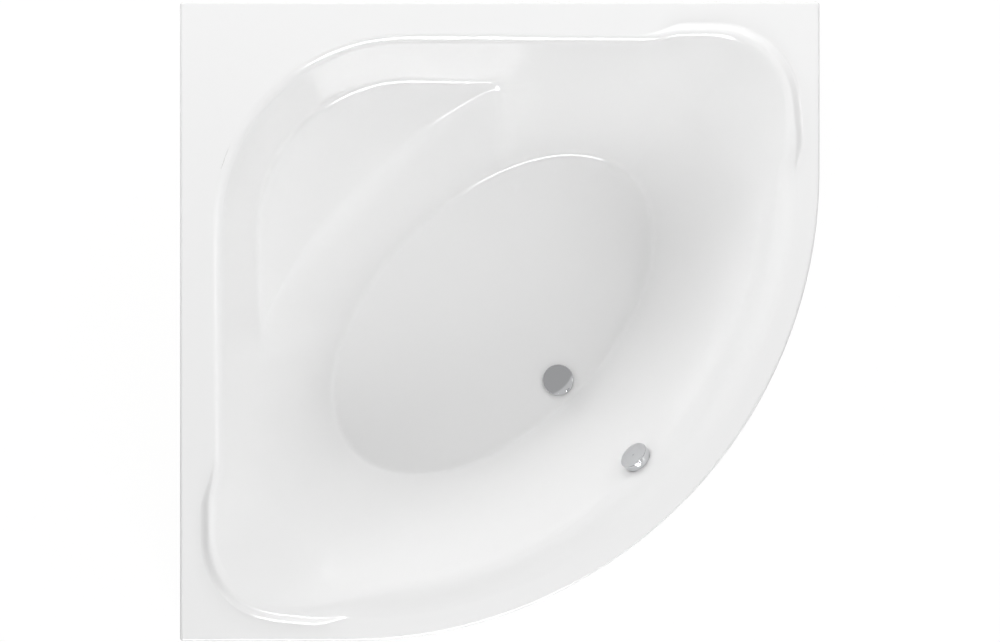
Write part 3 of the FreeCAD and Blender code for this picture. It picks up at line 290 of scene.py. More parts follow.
@dataclass(frozen=True)
class PlanedPine(Finish):
    """Planed spruce or pine: growth rings drawn 8 mm apart, wider than real so that they show."""

    grain: Grain = Grain.ALONG_X
    ring_mm: float = 8.0
    # Rings that the wave texture makes in a metre at a scale of 1, nearly 20 / tau
    rings_per_metre: float = 3.15
    stretch: float = 0.06
    wander: float = 4.0
    wander_scale: float = 0.6
    relief_mm: float = 0.12
    early: str = "#D9B98A"
    late: str = "#A8763F"

    def dress(self, surface: Surface) -> None:
        """Rings that run along the grain and wander slowly.

        Args:
            surface: the material in the making.
        """
        tree = surface.tree
        turn = (0.0, 0.0, -math.radians(self.grain.value))
        inputs = {"Vector": surface.place, "Rotation": turn, "Scale": (self.stretch, 1.0, 1.0)}
        laid = add(tree, "Mapping", inputs).outputs["Vector"]
        inputs = {
            "Vector": laid, "Scale": per_mm(self.ring_mm) / self.rings_per_metre, "Detail": 2.0,
            "Distortion": self.wander, "Detail Scale": self.wander_scale,
        }
        rings = add(tree, "TexWave", inputs, bands_direction="Y", wave_profile="SAW").outputs["Fac"]
        stops = [(0.0, self.early), (0.7, self.colour), (1.0, self.late)]
        surface.feed("Base Color", add(tree, "ValToRGB", {"Fac": rings}, stops).outputs["Color"])
        depth = {"Height": rings, "Distance": self.relief_mm * MM}
        surface.feed("Normal", add(tree, "Bump", depth).outputs["Normal"])


@dataclass(frozen=True)
class HotDipGalvanised(Finish):
    """Steel dipped in zinc: large crystals (spangle), each brighter or duller than the next."""

    spangle_mm: float = 9.0
    grit_mm: float = 2.5
    relief_mm: float = 0.05
    dull: str = "#8D9194"
    bright: str = "#C3C7C9"

    def dress(self, surface: Surface) -> None:
        """Crystals of about 9 mm, with a fine grit.

        Args:
            surface: the material in the making.
        """
        tree = surface.tree
        cells = add(tree, "TexVoronoi", surface.scaled(self.spangle_mm))
        tone = add(tree, "SeparateColor", {"Color": cells.outputs["Color"]}).outputs["Red"]
        stops = [(0.0, self.dull), (0.5, self.colour), (1.0, self.bright)]
        surface.feed("Base Color", add(tree, "ValToRGB", {"Fac": tone}, stops).outputs["Color"])
        rough = add(tree, "MapRange", {"Value": tone, **between(0.32, 0.52, 0.0, 1.0)})
        surface.feed("Roughness", rough.outputs["Result"])
        grit = add(tree, "TexNoise", surface.scaled(self.grit_mm, Detail=3.0))
        depth = {"Height": grit.outputs["Fac"], "Distance": self.relief_mm * MM}
        surface.feed("Normal", add(tree, "Bump", depth).outputs["Normal"])


@dataclass(frozen=True)
class ZincPlated(Finish):
    """Bright zinc-plated steel: satin, with a faint tint that shifts between blue and straw."""

    patch_mm: float = 6.0
    mark_mm: float = 1.5
    blue: str = "#AEB6BE"
    straw: str = "#CBC3A8"

    def dress(self, surface: Surface) -> None:
        """Tint in patches of about 6 mm, and handling marks.

        Args:
            surface: the material in the making.
        """
        tree = surface.tree
        patch = add(tree, "TexNoise", surface.scaled(self.patch_mm, Detail=3.0))
        stops = [(0.35, self.blue), (0.5, self.colour), (0.65, self.straw)]
        tint = add(tree, "ValToRGB", {"Fac": patch.outputs["Fac"]}, stops)
        surface.feed("Base Color", tint.outputs["Color"])
        mark = add(tree, "TexNoise", surface.scaled(self.mark_mm, Detail=5.0))
        rough = add(tree, "MapRange", {"Value": mark.outputs["Fac"], **between(0.22, 0.42)})
        surface.feed("Roughness", rough.outputs["Result"])


@dataclass(frozen=True)
class PolishedChrome(Finish):
    """Chrome plate on polished brass: a mirror, with a breath of haze where it is wiped."""

    stroke_mm: float = 8.0

    def dress(self, surface: Surface) -> None:
        """Wiping haze in strokes of about 8 mm.

        Args:
            surface: the material in the making.
        """
        inputs = surface.scaled(self.stroke_mm, Detail=5.0, Distortion=0.8)
        haze = add(surface.tree, "TexNoise", inputs).outputs["Fac"]
        rough = add(surface.tree, "MapRange", {"Value": haze, **between(0.03, 0.09)})
        surface.feed("Roughness", rough.outputs["Result"])


@dataclass(frozen=True)
class BrushedStainless(Finish):
    """Brushed stainless steel: fine parallel lines, drawn 0.6 mm apart so that they show."""

    line_mm: float = 0.6
    stretch: float = 0.04
    shade: str = "#A9AAA9"

    def dress(self, surface: Surface) -> None:
        """Lines that change the gloss and the tone a little.

        Args:
            surface: the material in the making.
        """
        tree = surface.tree
        laid = add(tree, "Mapping", {"Vector": surface.place, "Scale": (self.stretch, 1.0, 1.0)})
        inputs = {"Vector": laid.outputs["Vector"], "Scale": per_mm(self.line_mm), "Detail": 2.0}
        lines = add(tree, "TexNoise", inputs).outputs["Fac"]
        rough = add(tree, "MapRange", {"Value": lines, **between(0.18, 0.36)})
        surface.feed("Roughness", rough.outputs["Result"])
        tone = add(tree, "ValToRGB", {"Fac": lines}, [(0.3, self.shade), (0.7, self.colour)])
        surface.feed("Base Color", tone.outputs["Color"])


@dataclass(frozen=True)
class MouldedPlastic(Finish):
    """Injection-moulded plastic: satin from a spark-eroded mould, with faint flow clouds."""

    cloud: str = "#FFFFFF"
    cloud_mm: float = 40.0
    grain_mm: float = 1.2
    grain_depth_mm: float = 0.03
    clearer: float = 0.06
    duller: float = 0.08

    def dress(self, surface: Surface) -> None:
        """Erosion grain drawn 1 mm wide, coarser than real so that it shows, and clouds of 40 mm.

        Args:
            surface: the material in the making.
        """
        tree = surface.tree
        cloud = add(tree, "TexNoise", surface.scaled(self.cloud_mm, Detail=2.0))
        stops = [(0.35, self.colour), (0.7, self.cloud)]
        tone = add(tree, "ValToRGB", {"Fac": cloud.outputs["Fac"]}, stops)
        surface.feed("Base Color", tone.outputs["Color"])
        grain = add(tree, "TexNoise", surface.scaled(self.grain_mm, Detail=2.0)).outputs["Fac"]
        span = between(self.roughness - self.clearer, self.roughness + self.duller)
        surface.feed("Roughness", add(tree, "MapRange", {"Value": grain, **span}).outputs["Result"])
        depth = {"Height": grain, "Distance": self.grain_depth_mm * MM}
        surface.feed("Normal", add(tree, "Bump", depth).outputs["Normal"])


ACRYLIC = CastAcrylic("Cast acrylic, white gloss", "acrylic", "#EBEBEB", 0.08, ior=1.49)
LAMINATE = SprayedLaminate("Sprayed glassfibre laminate", "laminate", "#CBBF98", 0.55, ior=1.54)
CHIPS = Chipboard("Sanded chipboard", "chipboard", "#B8935F", 0.8)
PINE_X = PlanedPine("Planed pine, grain along the back wall", "softwood", "#CFA873", 0.6)
PINE_Y = PlanedPine(
    "Planed pine, grain along the left wall", "softwood", "#CFA873", 0.6, grain=Grain.ALONG_Y
)
PINE_FRONT = PlanedPine("Planed pine, blocks", "softwood", "#CFA873", 0.6, grain=Grain.ALONG_FRONT)
GALVANISED = HotDipGalvanised(
    "Hot-dip galvanised steel", "galvanised", "#A9ADB0", 0.42, metallic=1.0
)
ZINC = ZincPlated("Bright zinc-plated steel", "zinc_steel", "#BFC0BC", 0.3, metallic=1.0)
CHROME = PolishedChrome("Polished chrome plate", "chrome", "#D6D7D9", 0.05, metallic=1.0)
STAINLESS = BrushedStainless("Brushed stainless steel", "stainless", "#C9CAC9", 0.25, metallic=1.0)
WHITE_PP = MouldedPlastic(
    "Moulded polypropylene, white", "white_plastic", "#DDDDD8", 0.38, cloud="#E6E6E2"
)
GREY_PP = MouldedPlastic(
    "Moulded polypropylene, grey", "grey_plastic", "#6E7174", 0.4, cloud="#7B7E81"
)
NYLON = MouldedPlastic(
    "Glass-filled nylon, black", "foot_plastic", "#1A1A1C", 0.5,
    cloud="#242427", grain_depth_mm=0.08,
)
RUBBER = MouldedPlastic(
    "Moulded EPDM rubber", "black_rubber", "#151516", 0.62,
    cloud="#1D1D1E", grain_depth_mm=0.05,
)
SHEATH = MouldedPlastic(
    "Extruded PVC sheath", "cable_sheath", "#1C1C1E", 0.36, cloud="#232326", grain_mm=2.0
)


# ------------------------------------------------------------------ modelling tools


def at(along: float, across: float, height: float) -> Vector:
    """Place of a point that is given from the wall corner.

    Args:
        along: millimetres towards the front, down the line of symmetry.
        across: millimetres to the right of that line.
        height: millimetres above the floor.

    Returns:
        The place in metres.
    """
    return WALL_CORNER + (ALONG * along + ACROSS * across + UP * height) * MM


def middle_of(node: str) -> Vector:
    """Middle of a CAD node's box."""
    low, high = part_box(node)
    return (low + high) / 2


def lathe(profile: Profile, steps: int = 48, ring: bool = False) -> Form:
    """Turns a profile about Z.

    Args:
        profile: radius and height of its points, in millimetres, from one end to the other.
        steps: number of facets round the axis.
        ring: whether the last point joins the first, round a bore.

    Returns:
        A closed mesh in metres.
    """
    form = bmesh.new()
    points = [form.verts.new((radius * MM, 0, height * MM)) for radius, height in profile]
    edges = [form.edges.new(pair) for pair in zip(points, points[1:])]
    if ring:
        edges.append(form.edges.new((points[-1], points[0])))
    bmesh.ops.spin(
        form, geom=points + edges, cent=(0, 0, 0), axis=(0, 0, 1), dvec=(0, 0, 0),
        angle=math.tau, steps=steps, use_merge=True,
    )
    bmesh.ops.remove_doubles(form, verts=form.verts, dist=WELD)
    bmesh.ops.recalc_face_normals(form, faces=form.faces)
    return form


def moved(form: Form, matrix: Matrix) -> Form:
    """Moves a form by a matrix and returns it."""
    bmesh.ops.transform(form, matrix=matrix, verts=form.verts)
    return form


def upright(place: Vector, axis: Vector = UP) -> Matrix:
    """Matrix that takes Z to an axis and the origin to a place."""
    return Matrix.Translation(place) @ axis.to_track_quat("Z", "Y").to_matrix().to_4x4()


def everything(form: Form) -> list:
    """All the vertices, edges and faces of a form."""
    return form.verts[:] + form.edges[:] + form.faces[:]


def open_edges(form: Form) -> list[bmesh.types.BMEdge]:
    """Edges of a form that only one face has."""
    return [edge for edge in form.edges if edge.is_boundary]


def cut_off(form: Form, place: Sequence[float], way: Sequence[float]) -> None:
    """Cuts a form off at a plane.

    Args:
        form: the form.
        place: a point of the plane.
        way: the plane's normal, towards what goes.
    """
    bmesh.ops.bisect_plane(
        form, geom=everything(form), plane_co=place, plane_no=way, clear_outer=True
    )


def gathered(forms: Iterable[Form]) -> Form:
    """Gathers forms in one.

    Args:
        forms: the forms, which are used up.

    Returns:
        One form that holds all of them.
    """
    whole = bmesh.new()
    for form in forms:
        spare = bpy.data.meshes.new("spare")
        form.to_mesh(spare)
        whole.from_mesh(spare)
        bpy.data.meshes.remove(spare)
        form.free()
    return whole


def show(
    form: Form, name: str, finish: Finish, body: str, *nodes: str, sharp: float = 34.0
) -> bpy.types.Object:
    """Makes a form a piece of the bath.

    Args:
        form: the finished form, in place.
        name: the piece's name.
        finish: its finish.
        body: the CAD body that it moves with.
        *nodes: the CAD nodes that it stands for.
        sharp: angle in degrees past which an edge stays sharp.

    Returns:
        The new object.
    """
    mesh = bpy.data.meshes.new(name)
    form.to_mesh(mesh)
    form.free()
    mesh.shade_smooth()
    mesh.set_sharp_from_angle(angle=math.radians(sharp))
    mesh.materials.append(finish.material())
    piece = bpy.data.objects.new(name, mesh)
    bpy.context.scene.collection.objects.link(piece)
    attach(piece, body)
    if nodes:
        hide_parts(*nodes)
    log.info("made %s: %d faces", name, len(mesh.polygons))
    return piece


def carry_over(finish: Finish, *nodes: str) -> None:
    """Gives CAD nodes their finish.

    Args:
        finish: the finish.
        *nodes: names of the nodes, which keep their CAD shapes.
    """
    for name in nodes:
        materials = frame["nodes"][name].data.materials
        materials.clear()
        materials.append(finish.material())
        log.info("dressed %s: %s", name, finish.name)


def planed(size: Sequence[float], edge: float) -> Form:
    """Block with eased edges.

    Args:
        size: its length, width and height in metres.
        edge: radius of its edges in metres.

    Returns:
        The block, centred on the origin.
    """
    form = bmesh.new()
    bmesh.ops.create_cube(form, size=1.0, matrix=Matrix.Diagonal((*size, 1.0)))
    bmesh.ops.bevel(
        form, geom=form.edges, offset=edge, segments=3, profile=0.5, affect="EDGES", material=-1
    )
    return form


# ------------------------------------------------------------------ the bath


@dataclass(frozen=True)
class Shell:
    """Acrylic shell and apron, with the laminate, boards, battens and blocks."""

    wood_edge: float = 0.0015
    board_edge: float = 0.001
    seat_board: tuple[float, float, float] = (0.09, 0.3, 0.015)
    board_turn: float = -45.0
    block: tuple[float, float, float] = (0.02, 0.06, 0.022)
    block_radius: float = 1.0057
    block_angles: tuple[float, ...] = (-10.0, -33.0, -57.0, -80.0)

    def battens(self) -> None:
        """Battens under the rim at the two walls."""
        for node, finish in (("rim_batten_back", PINE_X), ("rim_batten_left", PINE_Y)):
            low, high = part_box(node)
            form = moved(planed(high - low, self.wood_edge), Matrix.Translation((low + high) / 2))
            show(form, node + "_planed", finish, "tub", node)

    def blocks(self) -> None:
        """Wood blocks behind the apron."""
        height = middle_of("panel_blocks").z
        forms = []
        for angle in self.block_angles:
            turn = Matrix.Rotation(math.radians(angle), 4, "Z")
            middle = FRONT_CENTRE + turn @ Vector((self.block_radius, 0, 0))
            middle.z = height
            block = planed(self.block, self.wood_edge)
            forms.append(moved(block, Matrix.Translation(middle) @ turn))
        show(gathered(forms), "panel_blocks_planed", PINE_FRONT, "tub", "panel_blocks")

    def board(self) -> None:
        """Board under the seat, square to the line of symmetry."""
        turn = Matrix.Rotation(math.radians(self.board_turn), 4, "Z")
        place = Matrix.Translation(middle_of("seat_board")) @ turn
        form = moved(planed(self.seat_board, self.board_edge), place)
        show(form, "seat_board_cut", CHIPS, "tub", "seat_board")

    def build(self) -> None:
        """Builds the wooden pieces and dresses the moulded ones."""
        carry_over(ACRYLIC, "bath_shell", "front_panel")
        carry_over(LAMINATE, "glassfibre_backing")
        carry_over(CHIPS, "base_board")
        carry_over(STAINLESS, "panel_clips")
        self.battens()
        self.blocks()
        self.board()


@dataclass(frozen=True)
class Foot:
    """Levelling foot: threaded stud in a round nylon pad; sizes in millimetres."""

    radius: float = 6.0
    pitch: float = 1.75
    thread_depth: float = 1.05
    thread_steps: int = 24
    thread_sharp: float = 25.0
    pad_steps: int = 64
    pad: tuple[tuple[float, float], ...] = (
        (0, 0), (22.6, 0), (24.2, 0.5), (25, 1.7), (25, 4.0), (24.3, 5.3), (22.4, 5.6), (20.2, 5.7),
        (19.4, 6.5), (14.2, 9.9), (11.2, 12.0), (10.2, 13.2), (9.6, 14), (6.0, 14), (6.0, 6.0),
        (0, 6.0),
    )

    def stud(self, low: Vector, high: Vector) -> Form:
        """Screw thread between two heights.

        Args:
            low: lowest corner of the CAD stud.
            high: its highest corner.

        Returns:
            The stud in place, with flat ends.
        """
        pitch, root = self.pitch * MM, (self.radius - self.thread_depth) * MM
        form = bmesh.new()
        spare_turns, lead = 3, 1.5
        turns = int((high.z - low.z) / pitch) + spare_turns
        column = []
        for half in range(2 * turns):
            reach = self.radius * MM if half % 2 else root
            column.append(form.verts.new((reach, 0, (half / 2 - lead) * pitch)))
        edges = [form.edges.new(pair) for pair in zip(column, column[1:])]
        bmesh.ops.spin(
            form, geom=column + edges, cent=(0, 0, 0), axis=(0, 0, 1),
            dvec=(0, 0, pitch / self.thread_steps), angle=math.tau, steps=self.thread_steps,
            use_merge=False,
        )
        bmesh.ops.remove_doubles(form, verts=form.verts, dist=WELD)
        for height, way in ((0.0, -1), (high.z - low.z, 1)):
            cut_off(form, (0, 0, height), (0, 0, way))
        bmesh.ops.holes_fill(form, edges=open_edges(form), sides=0)
        bmesh.ops.recalc_face_normals(form, faces=form.faces)
        middle = (low + high) / 2
        return moved(form, Matrix.Translation((middle.x, middle.y, low.z)))

    def build(self) -> None:
        """Builds the five feet."""
        for place in FEET:
            body = "foot_" + place
            node = "foot_stud_" + place
            form = self.stud(*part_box(node))
            show(form, "thread_" + place, ZINC, body, node, sharp=self.thread_sharp)
            node = "foot_pad_" + place
            middle = middle_of(node)
            base = Matrix.Translation((middle.x, middle.y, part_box(node)[0].z))
            form = moved(lathe(self.pad, self.pad_steps), base)
            show(form, "pad_" + place, NYLON, body, node)


@dataclass(frozen=True)
class Fasteners:
    """Hexagon nuts on the studs, and the wood screws; sizes in millimetres."""

    across_flats: float = 18.0
    height: float = 10.0
    bore: float = 6.1
    # Share of the flats' width that is left flat on the coned ends, and the cone's slope
    face_share: float = 0.96
    cone_slope: float = 30.0
    nut_sharp: float = 20.0
    screw_head: tuple[tuple[float, float], ...] = (
        (2.5, 2.6), (3.4, 2.3), (4.1, 1.6), (4.5, 0.7), (4.5, 0), (2.2, 0), (2.2, -11), (0, -14),
    )
    screw_steps: int = 24
    recess_reach: float = 1.9
    recess_depth: float = 1.5
    recess_taper: float = 0.6
    web_bottom: float = 131.23
    rail_top: float = 133.23
    basin_centre: float = 967.0
    rail_offset: float = 300.0
    rail_screw_spread: float = 110.0
    screw_pair_half: float = 10.0
    leg_screw_half: float = 33.5
    leg_plate: float = 4.0
    bracket_half: float = 380.0
    bracket_place: float = 679.3
    bracket_height: float = 553.0
    arm_bolt_along: float = 1237.0
    arm_top: float = 136.23
    tab_radius: float = 1021.5
    tab_screw_height: float = 112.23

    def nut(self) -> Form:
        """Hexagon nut: a turned blank with coned ends, milled flat on six sides.

        Returns:
            The nut, standing on the origin.
        """
        corner = self.across_flats / math.sqrt(3)
        face = self.across_flats / 2 * self.face_share
        cone = (corner - face) * math.tan(math.radians(self.cone_slope))
        top = self.height
        profile = [
            (self.bore, 0), (face, 0), (corner, cone),
            (corner, top - cone), (face, top), (self.bore, top),
        ]
        form = lathe(profile, ring=True)
        sides = 6
        for side in range(sides):
            turn = Matrix.Rotation(math.tau * (side + 0.5) / sides, 3, "Z")
            way = turn @ Vector((1, 0, 0))
            cut_off(form, way * self.across_flats / 2 * MM, way)
            bmesh.ops.holes_fill(form, edges=open_edges(form), sides=0)
        bmesh.ops.recalc_face_normals(form, faces=form.faces)
        return form

    def screw(self) -> Form:
        """Pan-head wood screw with a cross recess.

        Returns:
            The screw, with the seat of its head on the origin and its shank down.
        """
        form = lathe(self.screw_head, self.screw_steps)
        top = self.screw_head[0][1] * MM
        reach = self.recess_reach * MM
        bmesh.ops.create_grid(
            form, x_segments=3, y_segments=3, size=reach, matrix=Matrix.Translation((0, 0, top))
        )
        middles = {face: face.calc_center_median() for face in form.faces}
        grid = [face for face, middle in middles.items() if middle.z > top - WELD]
        corners = [
            face for face in grid if min(abs(middles[face].x), abs(middles[face].y)) > reach / 3
        ]
        bmesh.ops.delete(form, geom=corners, context="FACES")
        cross = [face for face in grid if face.is_valid]
        pushed = bmesh.ops.extrude_face_region(form, geom=cross)["geom"]
        floor = [item for item in pushed if isinstance(item, bmesh.types.BMVert)]
        bmesh.ops.scale(form, vec=(self.recess_taper, self.recess_taper, 1.0), verts=floor)
        bmesh.ops.translate(form, vec=(0, 0, -self.recess_depth * MM), verts=floor)
        bmesh.ops.delete(form, geom=[face for face in cross if face.is_valid], context="FACES_ONLY")
        bmesh.ops.bridge_loops(form, edges=open_edges(form))
        bmesh.ops.recalc_face_normals(form, faces=form.faces)
        return form

    def screws(self, name: str, seats: Iterable[tuple[Vector, Vector]]) -> None:
        """Screws of one node.

        Args:
            name: the CAD node.
            seats: for each screw, the seat of its head and the way its head points.
        """
        form = gathered(moved(self.screw(), upright(*seat)) for seat in seats)
        show(form, name + "_cut", ZINC, "tub", name)

    def foot_nuts(self) -> None:
        """Two nuts on each stud, below and above the rail's web."""
        nuts = []
        for place in FEET:
            middle = middle_of("foot_stud_" + place)
            for bottom in (self.web_bottom - self.height, self.rail_top):
                base = Matrix.Translation((middle.x, middle.y, bottom * MM))
                nuts.append(moved(self.nut(), base))
        show(gathered(nuts), "foot_nuts_milled", ZINC, "tub", "foot_nuts", sharp=self.nut_sharp)

    def rail_screws(self) -> None:
        """Screws of the rails, in pairs, heads down."""
        self.screws("rail_screws", [
            (at(self.basin_centre + run, side * self.rail_offset + shift, self.web_bottom), -UP)
            for side in (-1, 1)
            for run in (-self.rail_screw_spread, self.rail_screw_spread)
            for shift in (-self.screw_pair_half, self.screw_pair_half)
        ])

    def leg_screws(self) -> None:
        """Screws at the corners of the seat leg's plate, heads down."""
        seat = middle_of("seat_leg")
        seat.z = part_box("seat_leg")[1].z - self.leg_plate * MM
        half = self.leg_screw_half * MM
        self.screws("seat_leg_screws", [
            (seat + ALONG * run + ACROSS * shift, -UP)
            for run in (-half, half)
            for shift in (-half, half)
        ])

    def bracket_screws(self) -> None:
        """Screws of the wall brackets; those on the left mirror those at the back."""
        backs = [
            Vector((middle + shift, self.bracket_place, self.bracket_height)) * MM
            for middle in (-self.bracket_half, self.bracket_half)
            for shift in (-self.screw_pair_half, self.screw_pair_half)
        ]
        lefts = [Vector((-place.y, -place.x, place.z)) for place in backs]
        self.screws("bracket_screws", [(place, -UP) for place in backs + lefts])

    def panel_screws(self) -> None:
        """Screws at both ends of the apron's arms."""
        seats = []
        for side in (-1, 1):
            bolt = at(self.arm_bolt_along, side * self.rail_offset, self.arm_top)
            outward = Vector((bolt.x - FRONT_CENTRE.x, bolt.y - FRONT_CENTRE.y, 0)).normalized()
            tab = FRONT_CENTRE + (outward * self.tab_radius + UP * self.tab_screw_height) * MM
            seats += [(bolt, UP), (tab, outward)]
        self.screws("panel_screws", seats)

    def build(self) -> None:
        """Builds the nuts and all the screws."""
        self.foot_nuts()
        self.rail_screws()
        self.leg_screws()
        self.bracket_screws()
        self.panel_screws()


@dataclass(frozen=True)
class Plumbing:
    """Waste, trap, overflow, pipe and cable; sizes in millimetres."""

    union_profile: tuple[tuple[float, float], ...] = (
        (19.1, -6), (25.6, -6), (27.2, -4.6), (27.2, 9.6), (26.2, 11.4), (24.9, 12), (23.6, 12),
        (23.6, -3), (19.1, -3),
    )
    union_ribs: int = 16
    union_rib: float = 2.2
    union_foot: float = 6.0
    outlet_turn: float = -30.0
    outlet_shift: float = 3.0
    small_profile: tuple[tuple[float, float], ...] = (
        (16.1, 0), (19.8, 0), (20.8, 0.8), (20.8, 7.2), (19.8, 8), (16.1, 8),
    )
    small_ribs: int = 12
    small_rib: float = 1.2
    # Pipe nut below the overflow: how far behind the knob's foot and how far down the wall
    overflow_behind: float = 34.0
    overflow_down: float = 43.0
    port_along: float = 1206.05
    port_height: float = 120.73
    # Facets of the nut for each rib, and how much narrower and shorter a rib's top is than its foot
    rib_pitch: int = 4
    rib_narrow: float = 0.86
    rib_short: float = 0.93
    # A rib stands on upright faces that lie out at the nut's rim
    upright_limit: float = 0.1
    rim_share: float = 0.98

    def gripped(self, profile: Profile, ribs: int, proud: float) -> Form:
        """Hand nut with grip ribs.

        Args:
            profile: the nut without its ribs, round its bore, in millimetres.
            ribs: number of ribs.
            proud: how far they stand out, in millimetres.

        Returns:
            The nut, about Z.
        """
        steps = ribs * self.rib_pitch
        form = lathe(profile, steps, ring=True)
        outer = max(radius for radius, _ in profile) * MM
        picked = []
        for face in form.faces:
            middle = face.calc_center_median()
            facet = int(math.atan2(middle.y, middle.x) % math.tau / math.tau * steps)
            steep = abs(face.normal.z) < self.upright_limit
            on_rim = middle.xy.length > outer * self.rim_share
            if steep and on_rim and facet % self.rib_pitch == 0:
                picked.append(face)
        shrink = Matrix.Diagonal((self.rib_narrow, self.rib_narrow, self.rib_short, 1.0))
        for face in bmesh.ops.extrude_discrete_faces(form, faces=picked)["faces"]:
            way = Vector((face.normal.x, face.normal.y, 0)).normalized() * proud * MM
            around = Matrix.Translation(face.calc_center_median() + way)
            bmesh.ops.translate(form, vec=way, verts=face.verts)
            bmesh.ops.transform(form, matrix=around @ shrink @ around.inverted(), verts=face.verts)
        bmesh.ops.recalc_face_normals(form, faces=form.faces)
        return form

    def union(self, name: str, place: Matrix) -> None:
        """Union nut of the trap.

        Args:
            name: the CAD node.
            place: matrix that puts the nut, which is made about Z, in place.
        """
        form = moved(self.gripped(self.union_profile, self.union_ribs, self.union_rib), place)
        show(form, name + "_ribbed", WHITE_PP, "tub", name)

    def small_nut(self, place: Vector, axis: Vector) -> Form:
        """Nut of the overflow pipe, from a place along an axis."""
        form = self.gripped(self.small_profile, self.small_ribs, self.small_rib)
        return moved(form, upright(place, axis))

    def nuts(self) -> None:
        """Union nuts of the trap and nuts of the overflow pipe."""
        inlet = middle_of("trap_inlet_nut")
        inlet.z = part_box("trap_inlet_nut")[0].z + self.union_foot * MM
        self.union("trap_inlet_nut", upright(inlet))
        outward = Matrix.Rotation(math.radians(self.outlet_turn), 3, "Z") @ Vector((1, 0, 0))
        outlet = middle_of("trap_outlet_nut") - outward * self.outlet_shift * MM
        self.union("trap_outlet_nut", upright(outlet, outward))
        knob = next(joint for joint in frame["joints"] if joint["name"] == "knob_turn")
        normal = Vector(knob["axis"]).normalized()
        slope = normal.cross(ACROSS).normalized()
        drop = slope * self.overflow_down - normal * self.overflow_behind
        top = Vector(knob["pos_m"]) + drop * MM
        port = at(self.port_along, 0, self.port_height)
        forms = [self.small_nut(top, slope), self.small_nut(port, ALONG)]
        show(gathered(forms), "overflow_pipe_nuts_ribbed", WHITE_PP, "tub", "overflow_pipe_nuts")

    def build(self) -> None:
        """Builds the nuts and dresses the rest."""
        carry_over(CHROME, "plug_cap", "overflow_knob", "overflow_ring")
        carry_over(STAINLESS, "drain_flange", "plug_stem", "knob_spindle")
        carry_over(STAINLESS, "lift_lever", "lever_pin")
        carry_over(RUBBER, "drain_gasket_upper", "drain_gasket_lower")
        carry_over(RUBBER, "plug_seal", "overflow_gasket")
        carry_over(GREY_PP, "drain_body", "overflow_body")
        carry_over(WHITE_PP, "trap_bend", "outlet_pipe", "overflow_pipe")
        carry_over(SHEATH, "bowden_cable")
        self.nuts()


@dataclass(frozen=True)
class Steelwork:
    """Rails, leg, brackets and arms, which keep their CAD shapes."""

    nodes: tuple[str, ...] = (
        "leg_rail_left", "leg_rail_right", "seat_leg", "wall_brackets_back", "wall_brackets_left",
        "panel_arms",
    )

    def build(self) -> None:
        """Dresses the steel."""
        carry_over(GALVANISED, *self.nodes)


# ------------------------------------------------------------------ studio


def toward(azimuth: float, elevation: float) -> Vector:
    """Direction from its angles.

    Args:
        azimuth: degrees round Z from +X.
        elevation: degrees above the level.

    Returns:
        A unit vector.
    """
    turn, rise = math.radians(azimuth), math.radians(elevation)
    flat = math.cos(rise)
    return Vector((math.cos(turn) * flat, math.sin(turn) * flat, math.sin(rise)))


@dataclass(frozen=True)
class Lamp:
    """Round soft lamp, given by its direction from the bath; gloss doesn't mirror it."""

    azimuth: float
    elevation: float
    power: float
    size: float = 1.2
    distance: float = 3.0
    aim_height: float = 0.4

    def build(self) -> None:
        """Hangs the lamp."""
        data = bpy.data.lights.new(f"lamp_{self.azimuth:.0f}_{self.elevation:.0f}", "AREA")
        data.shape, data.size, data.energy = "DISK", self.size, self.power
        way = toward(self.azimuth, self.elevation)
        lamp = bpy.data.objects.new(data.name, data)
        lamp.matrix_world = upright(UP * self.aim_height + way * self.distance, way)
        lamp.visible_glossy = False
        bpy.context.scene.collection.objects.link(lamp)


@dataclass(frozen=True)
class Reflection:
    """Round patch of the surroundings that polished surfaces mirror; angles in degrees."""

    azimuth: float
    elevation: float
    half_angle: float
    softness: float
    strength: float

    def share(self, tree: Tree, way: Socket) -> Socket:
        """Socket that rises from 0 to the patch's strength inside it.

        Args:
            tree: the world's node tree.
            way: the direction that is looked in.

        Returns:
            The socket.
        """
        inputs = {0: way, 1: tuple(toward(self.azimuth, self.elevation))}
        near = add(tree, "VectorMath", inputs, operation="DOT_PRODUCT").outputs["Value"]
        outside = math.cos(math.radians(self.half_angle + self.softness))
        inside = math.cos(math.radians(self.half_angle))
        span = between(0.0, self.strength, outside, inside)
        return add(tree, "MapRange", {"Value": near, **span}).outputs["Result"]


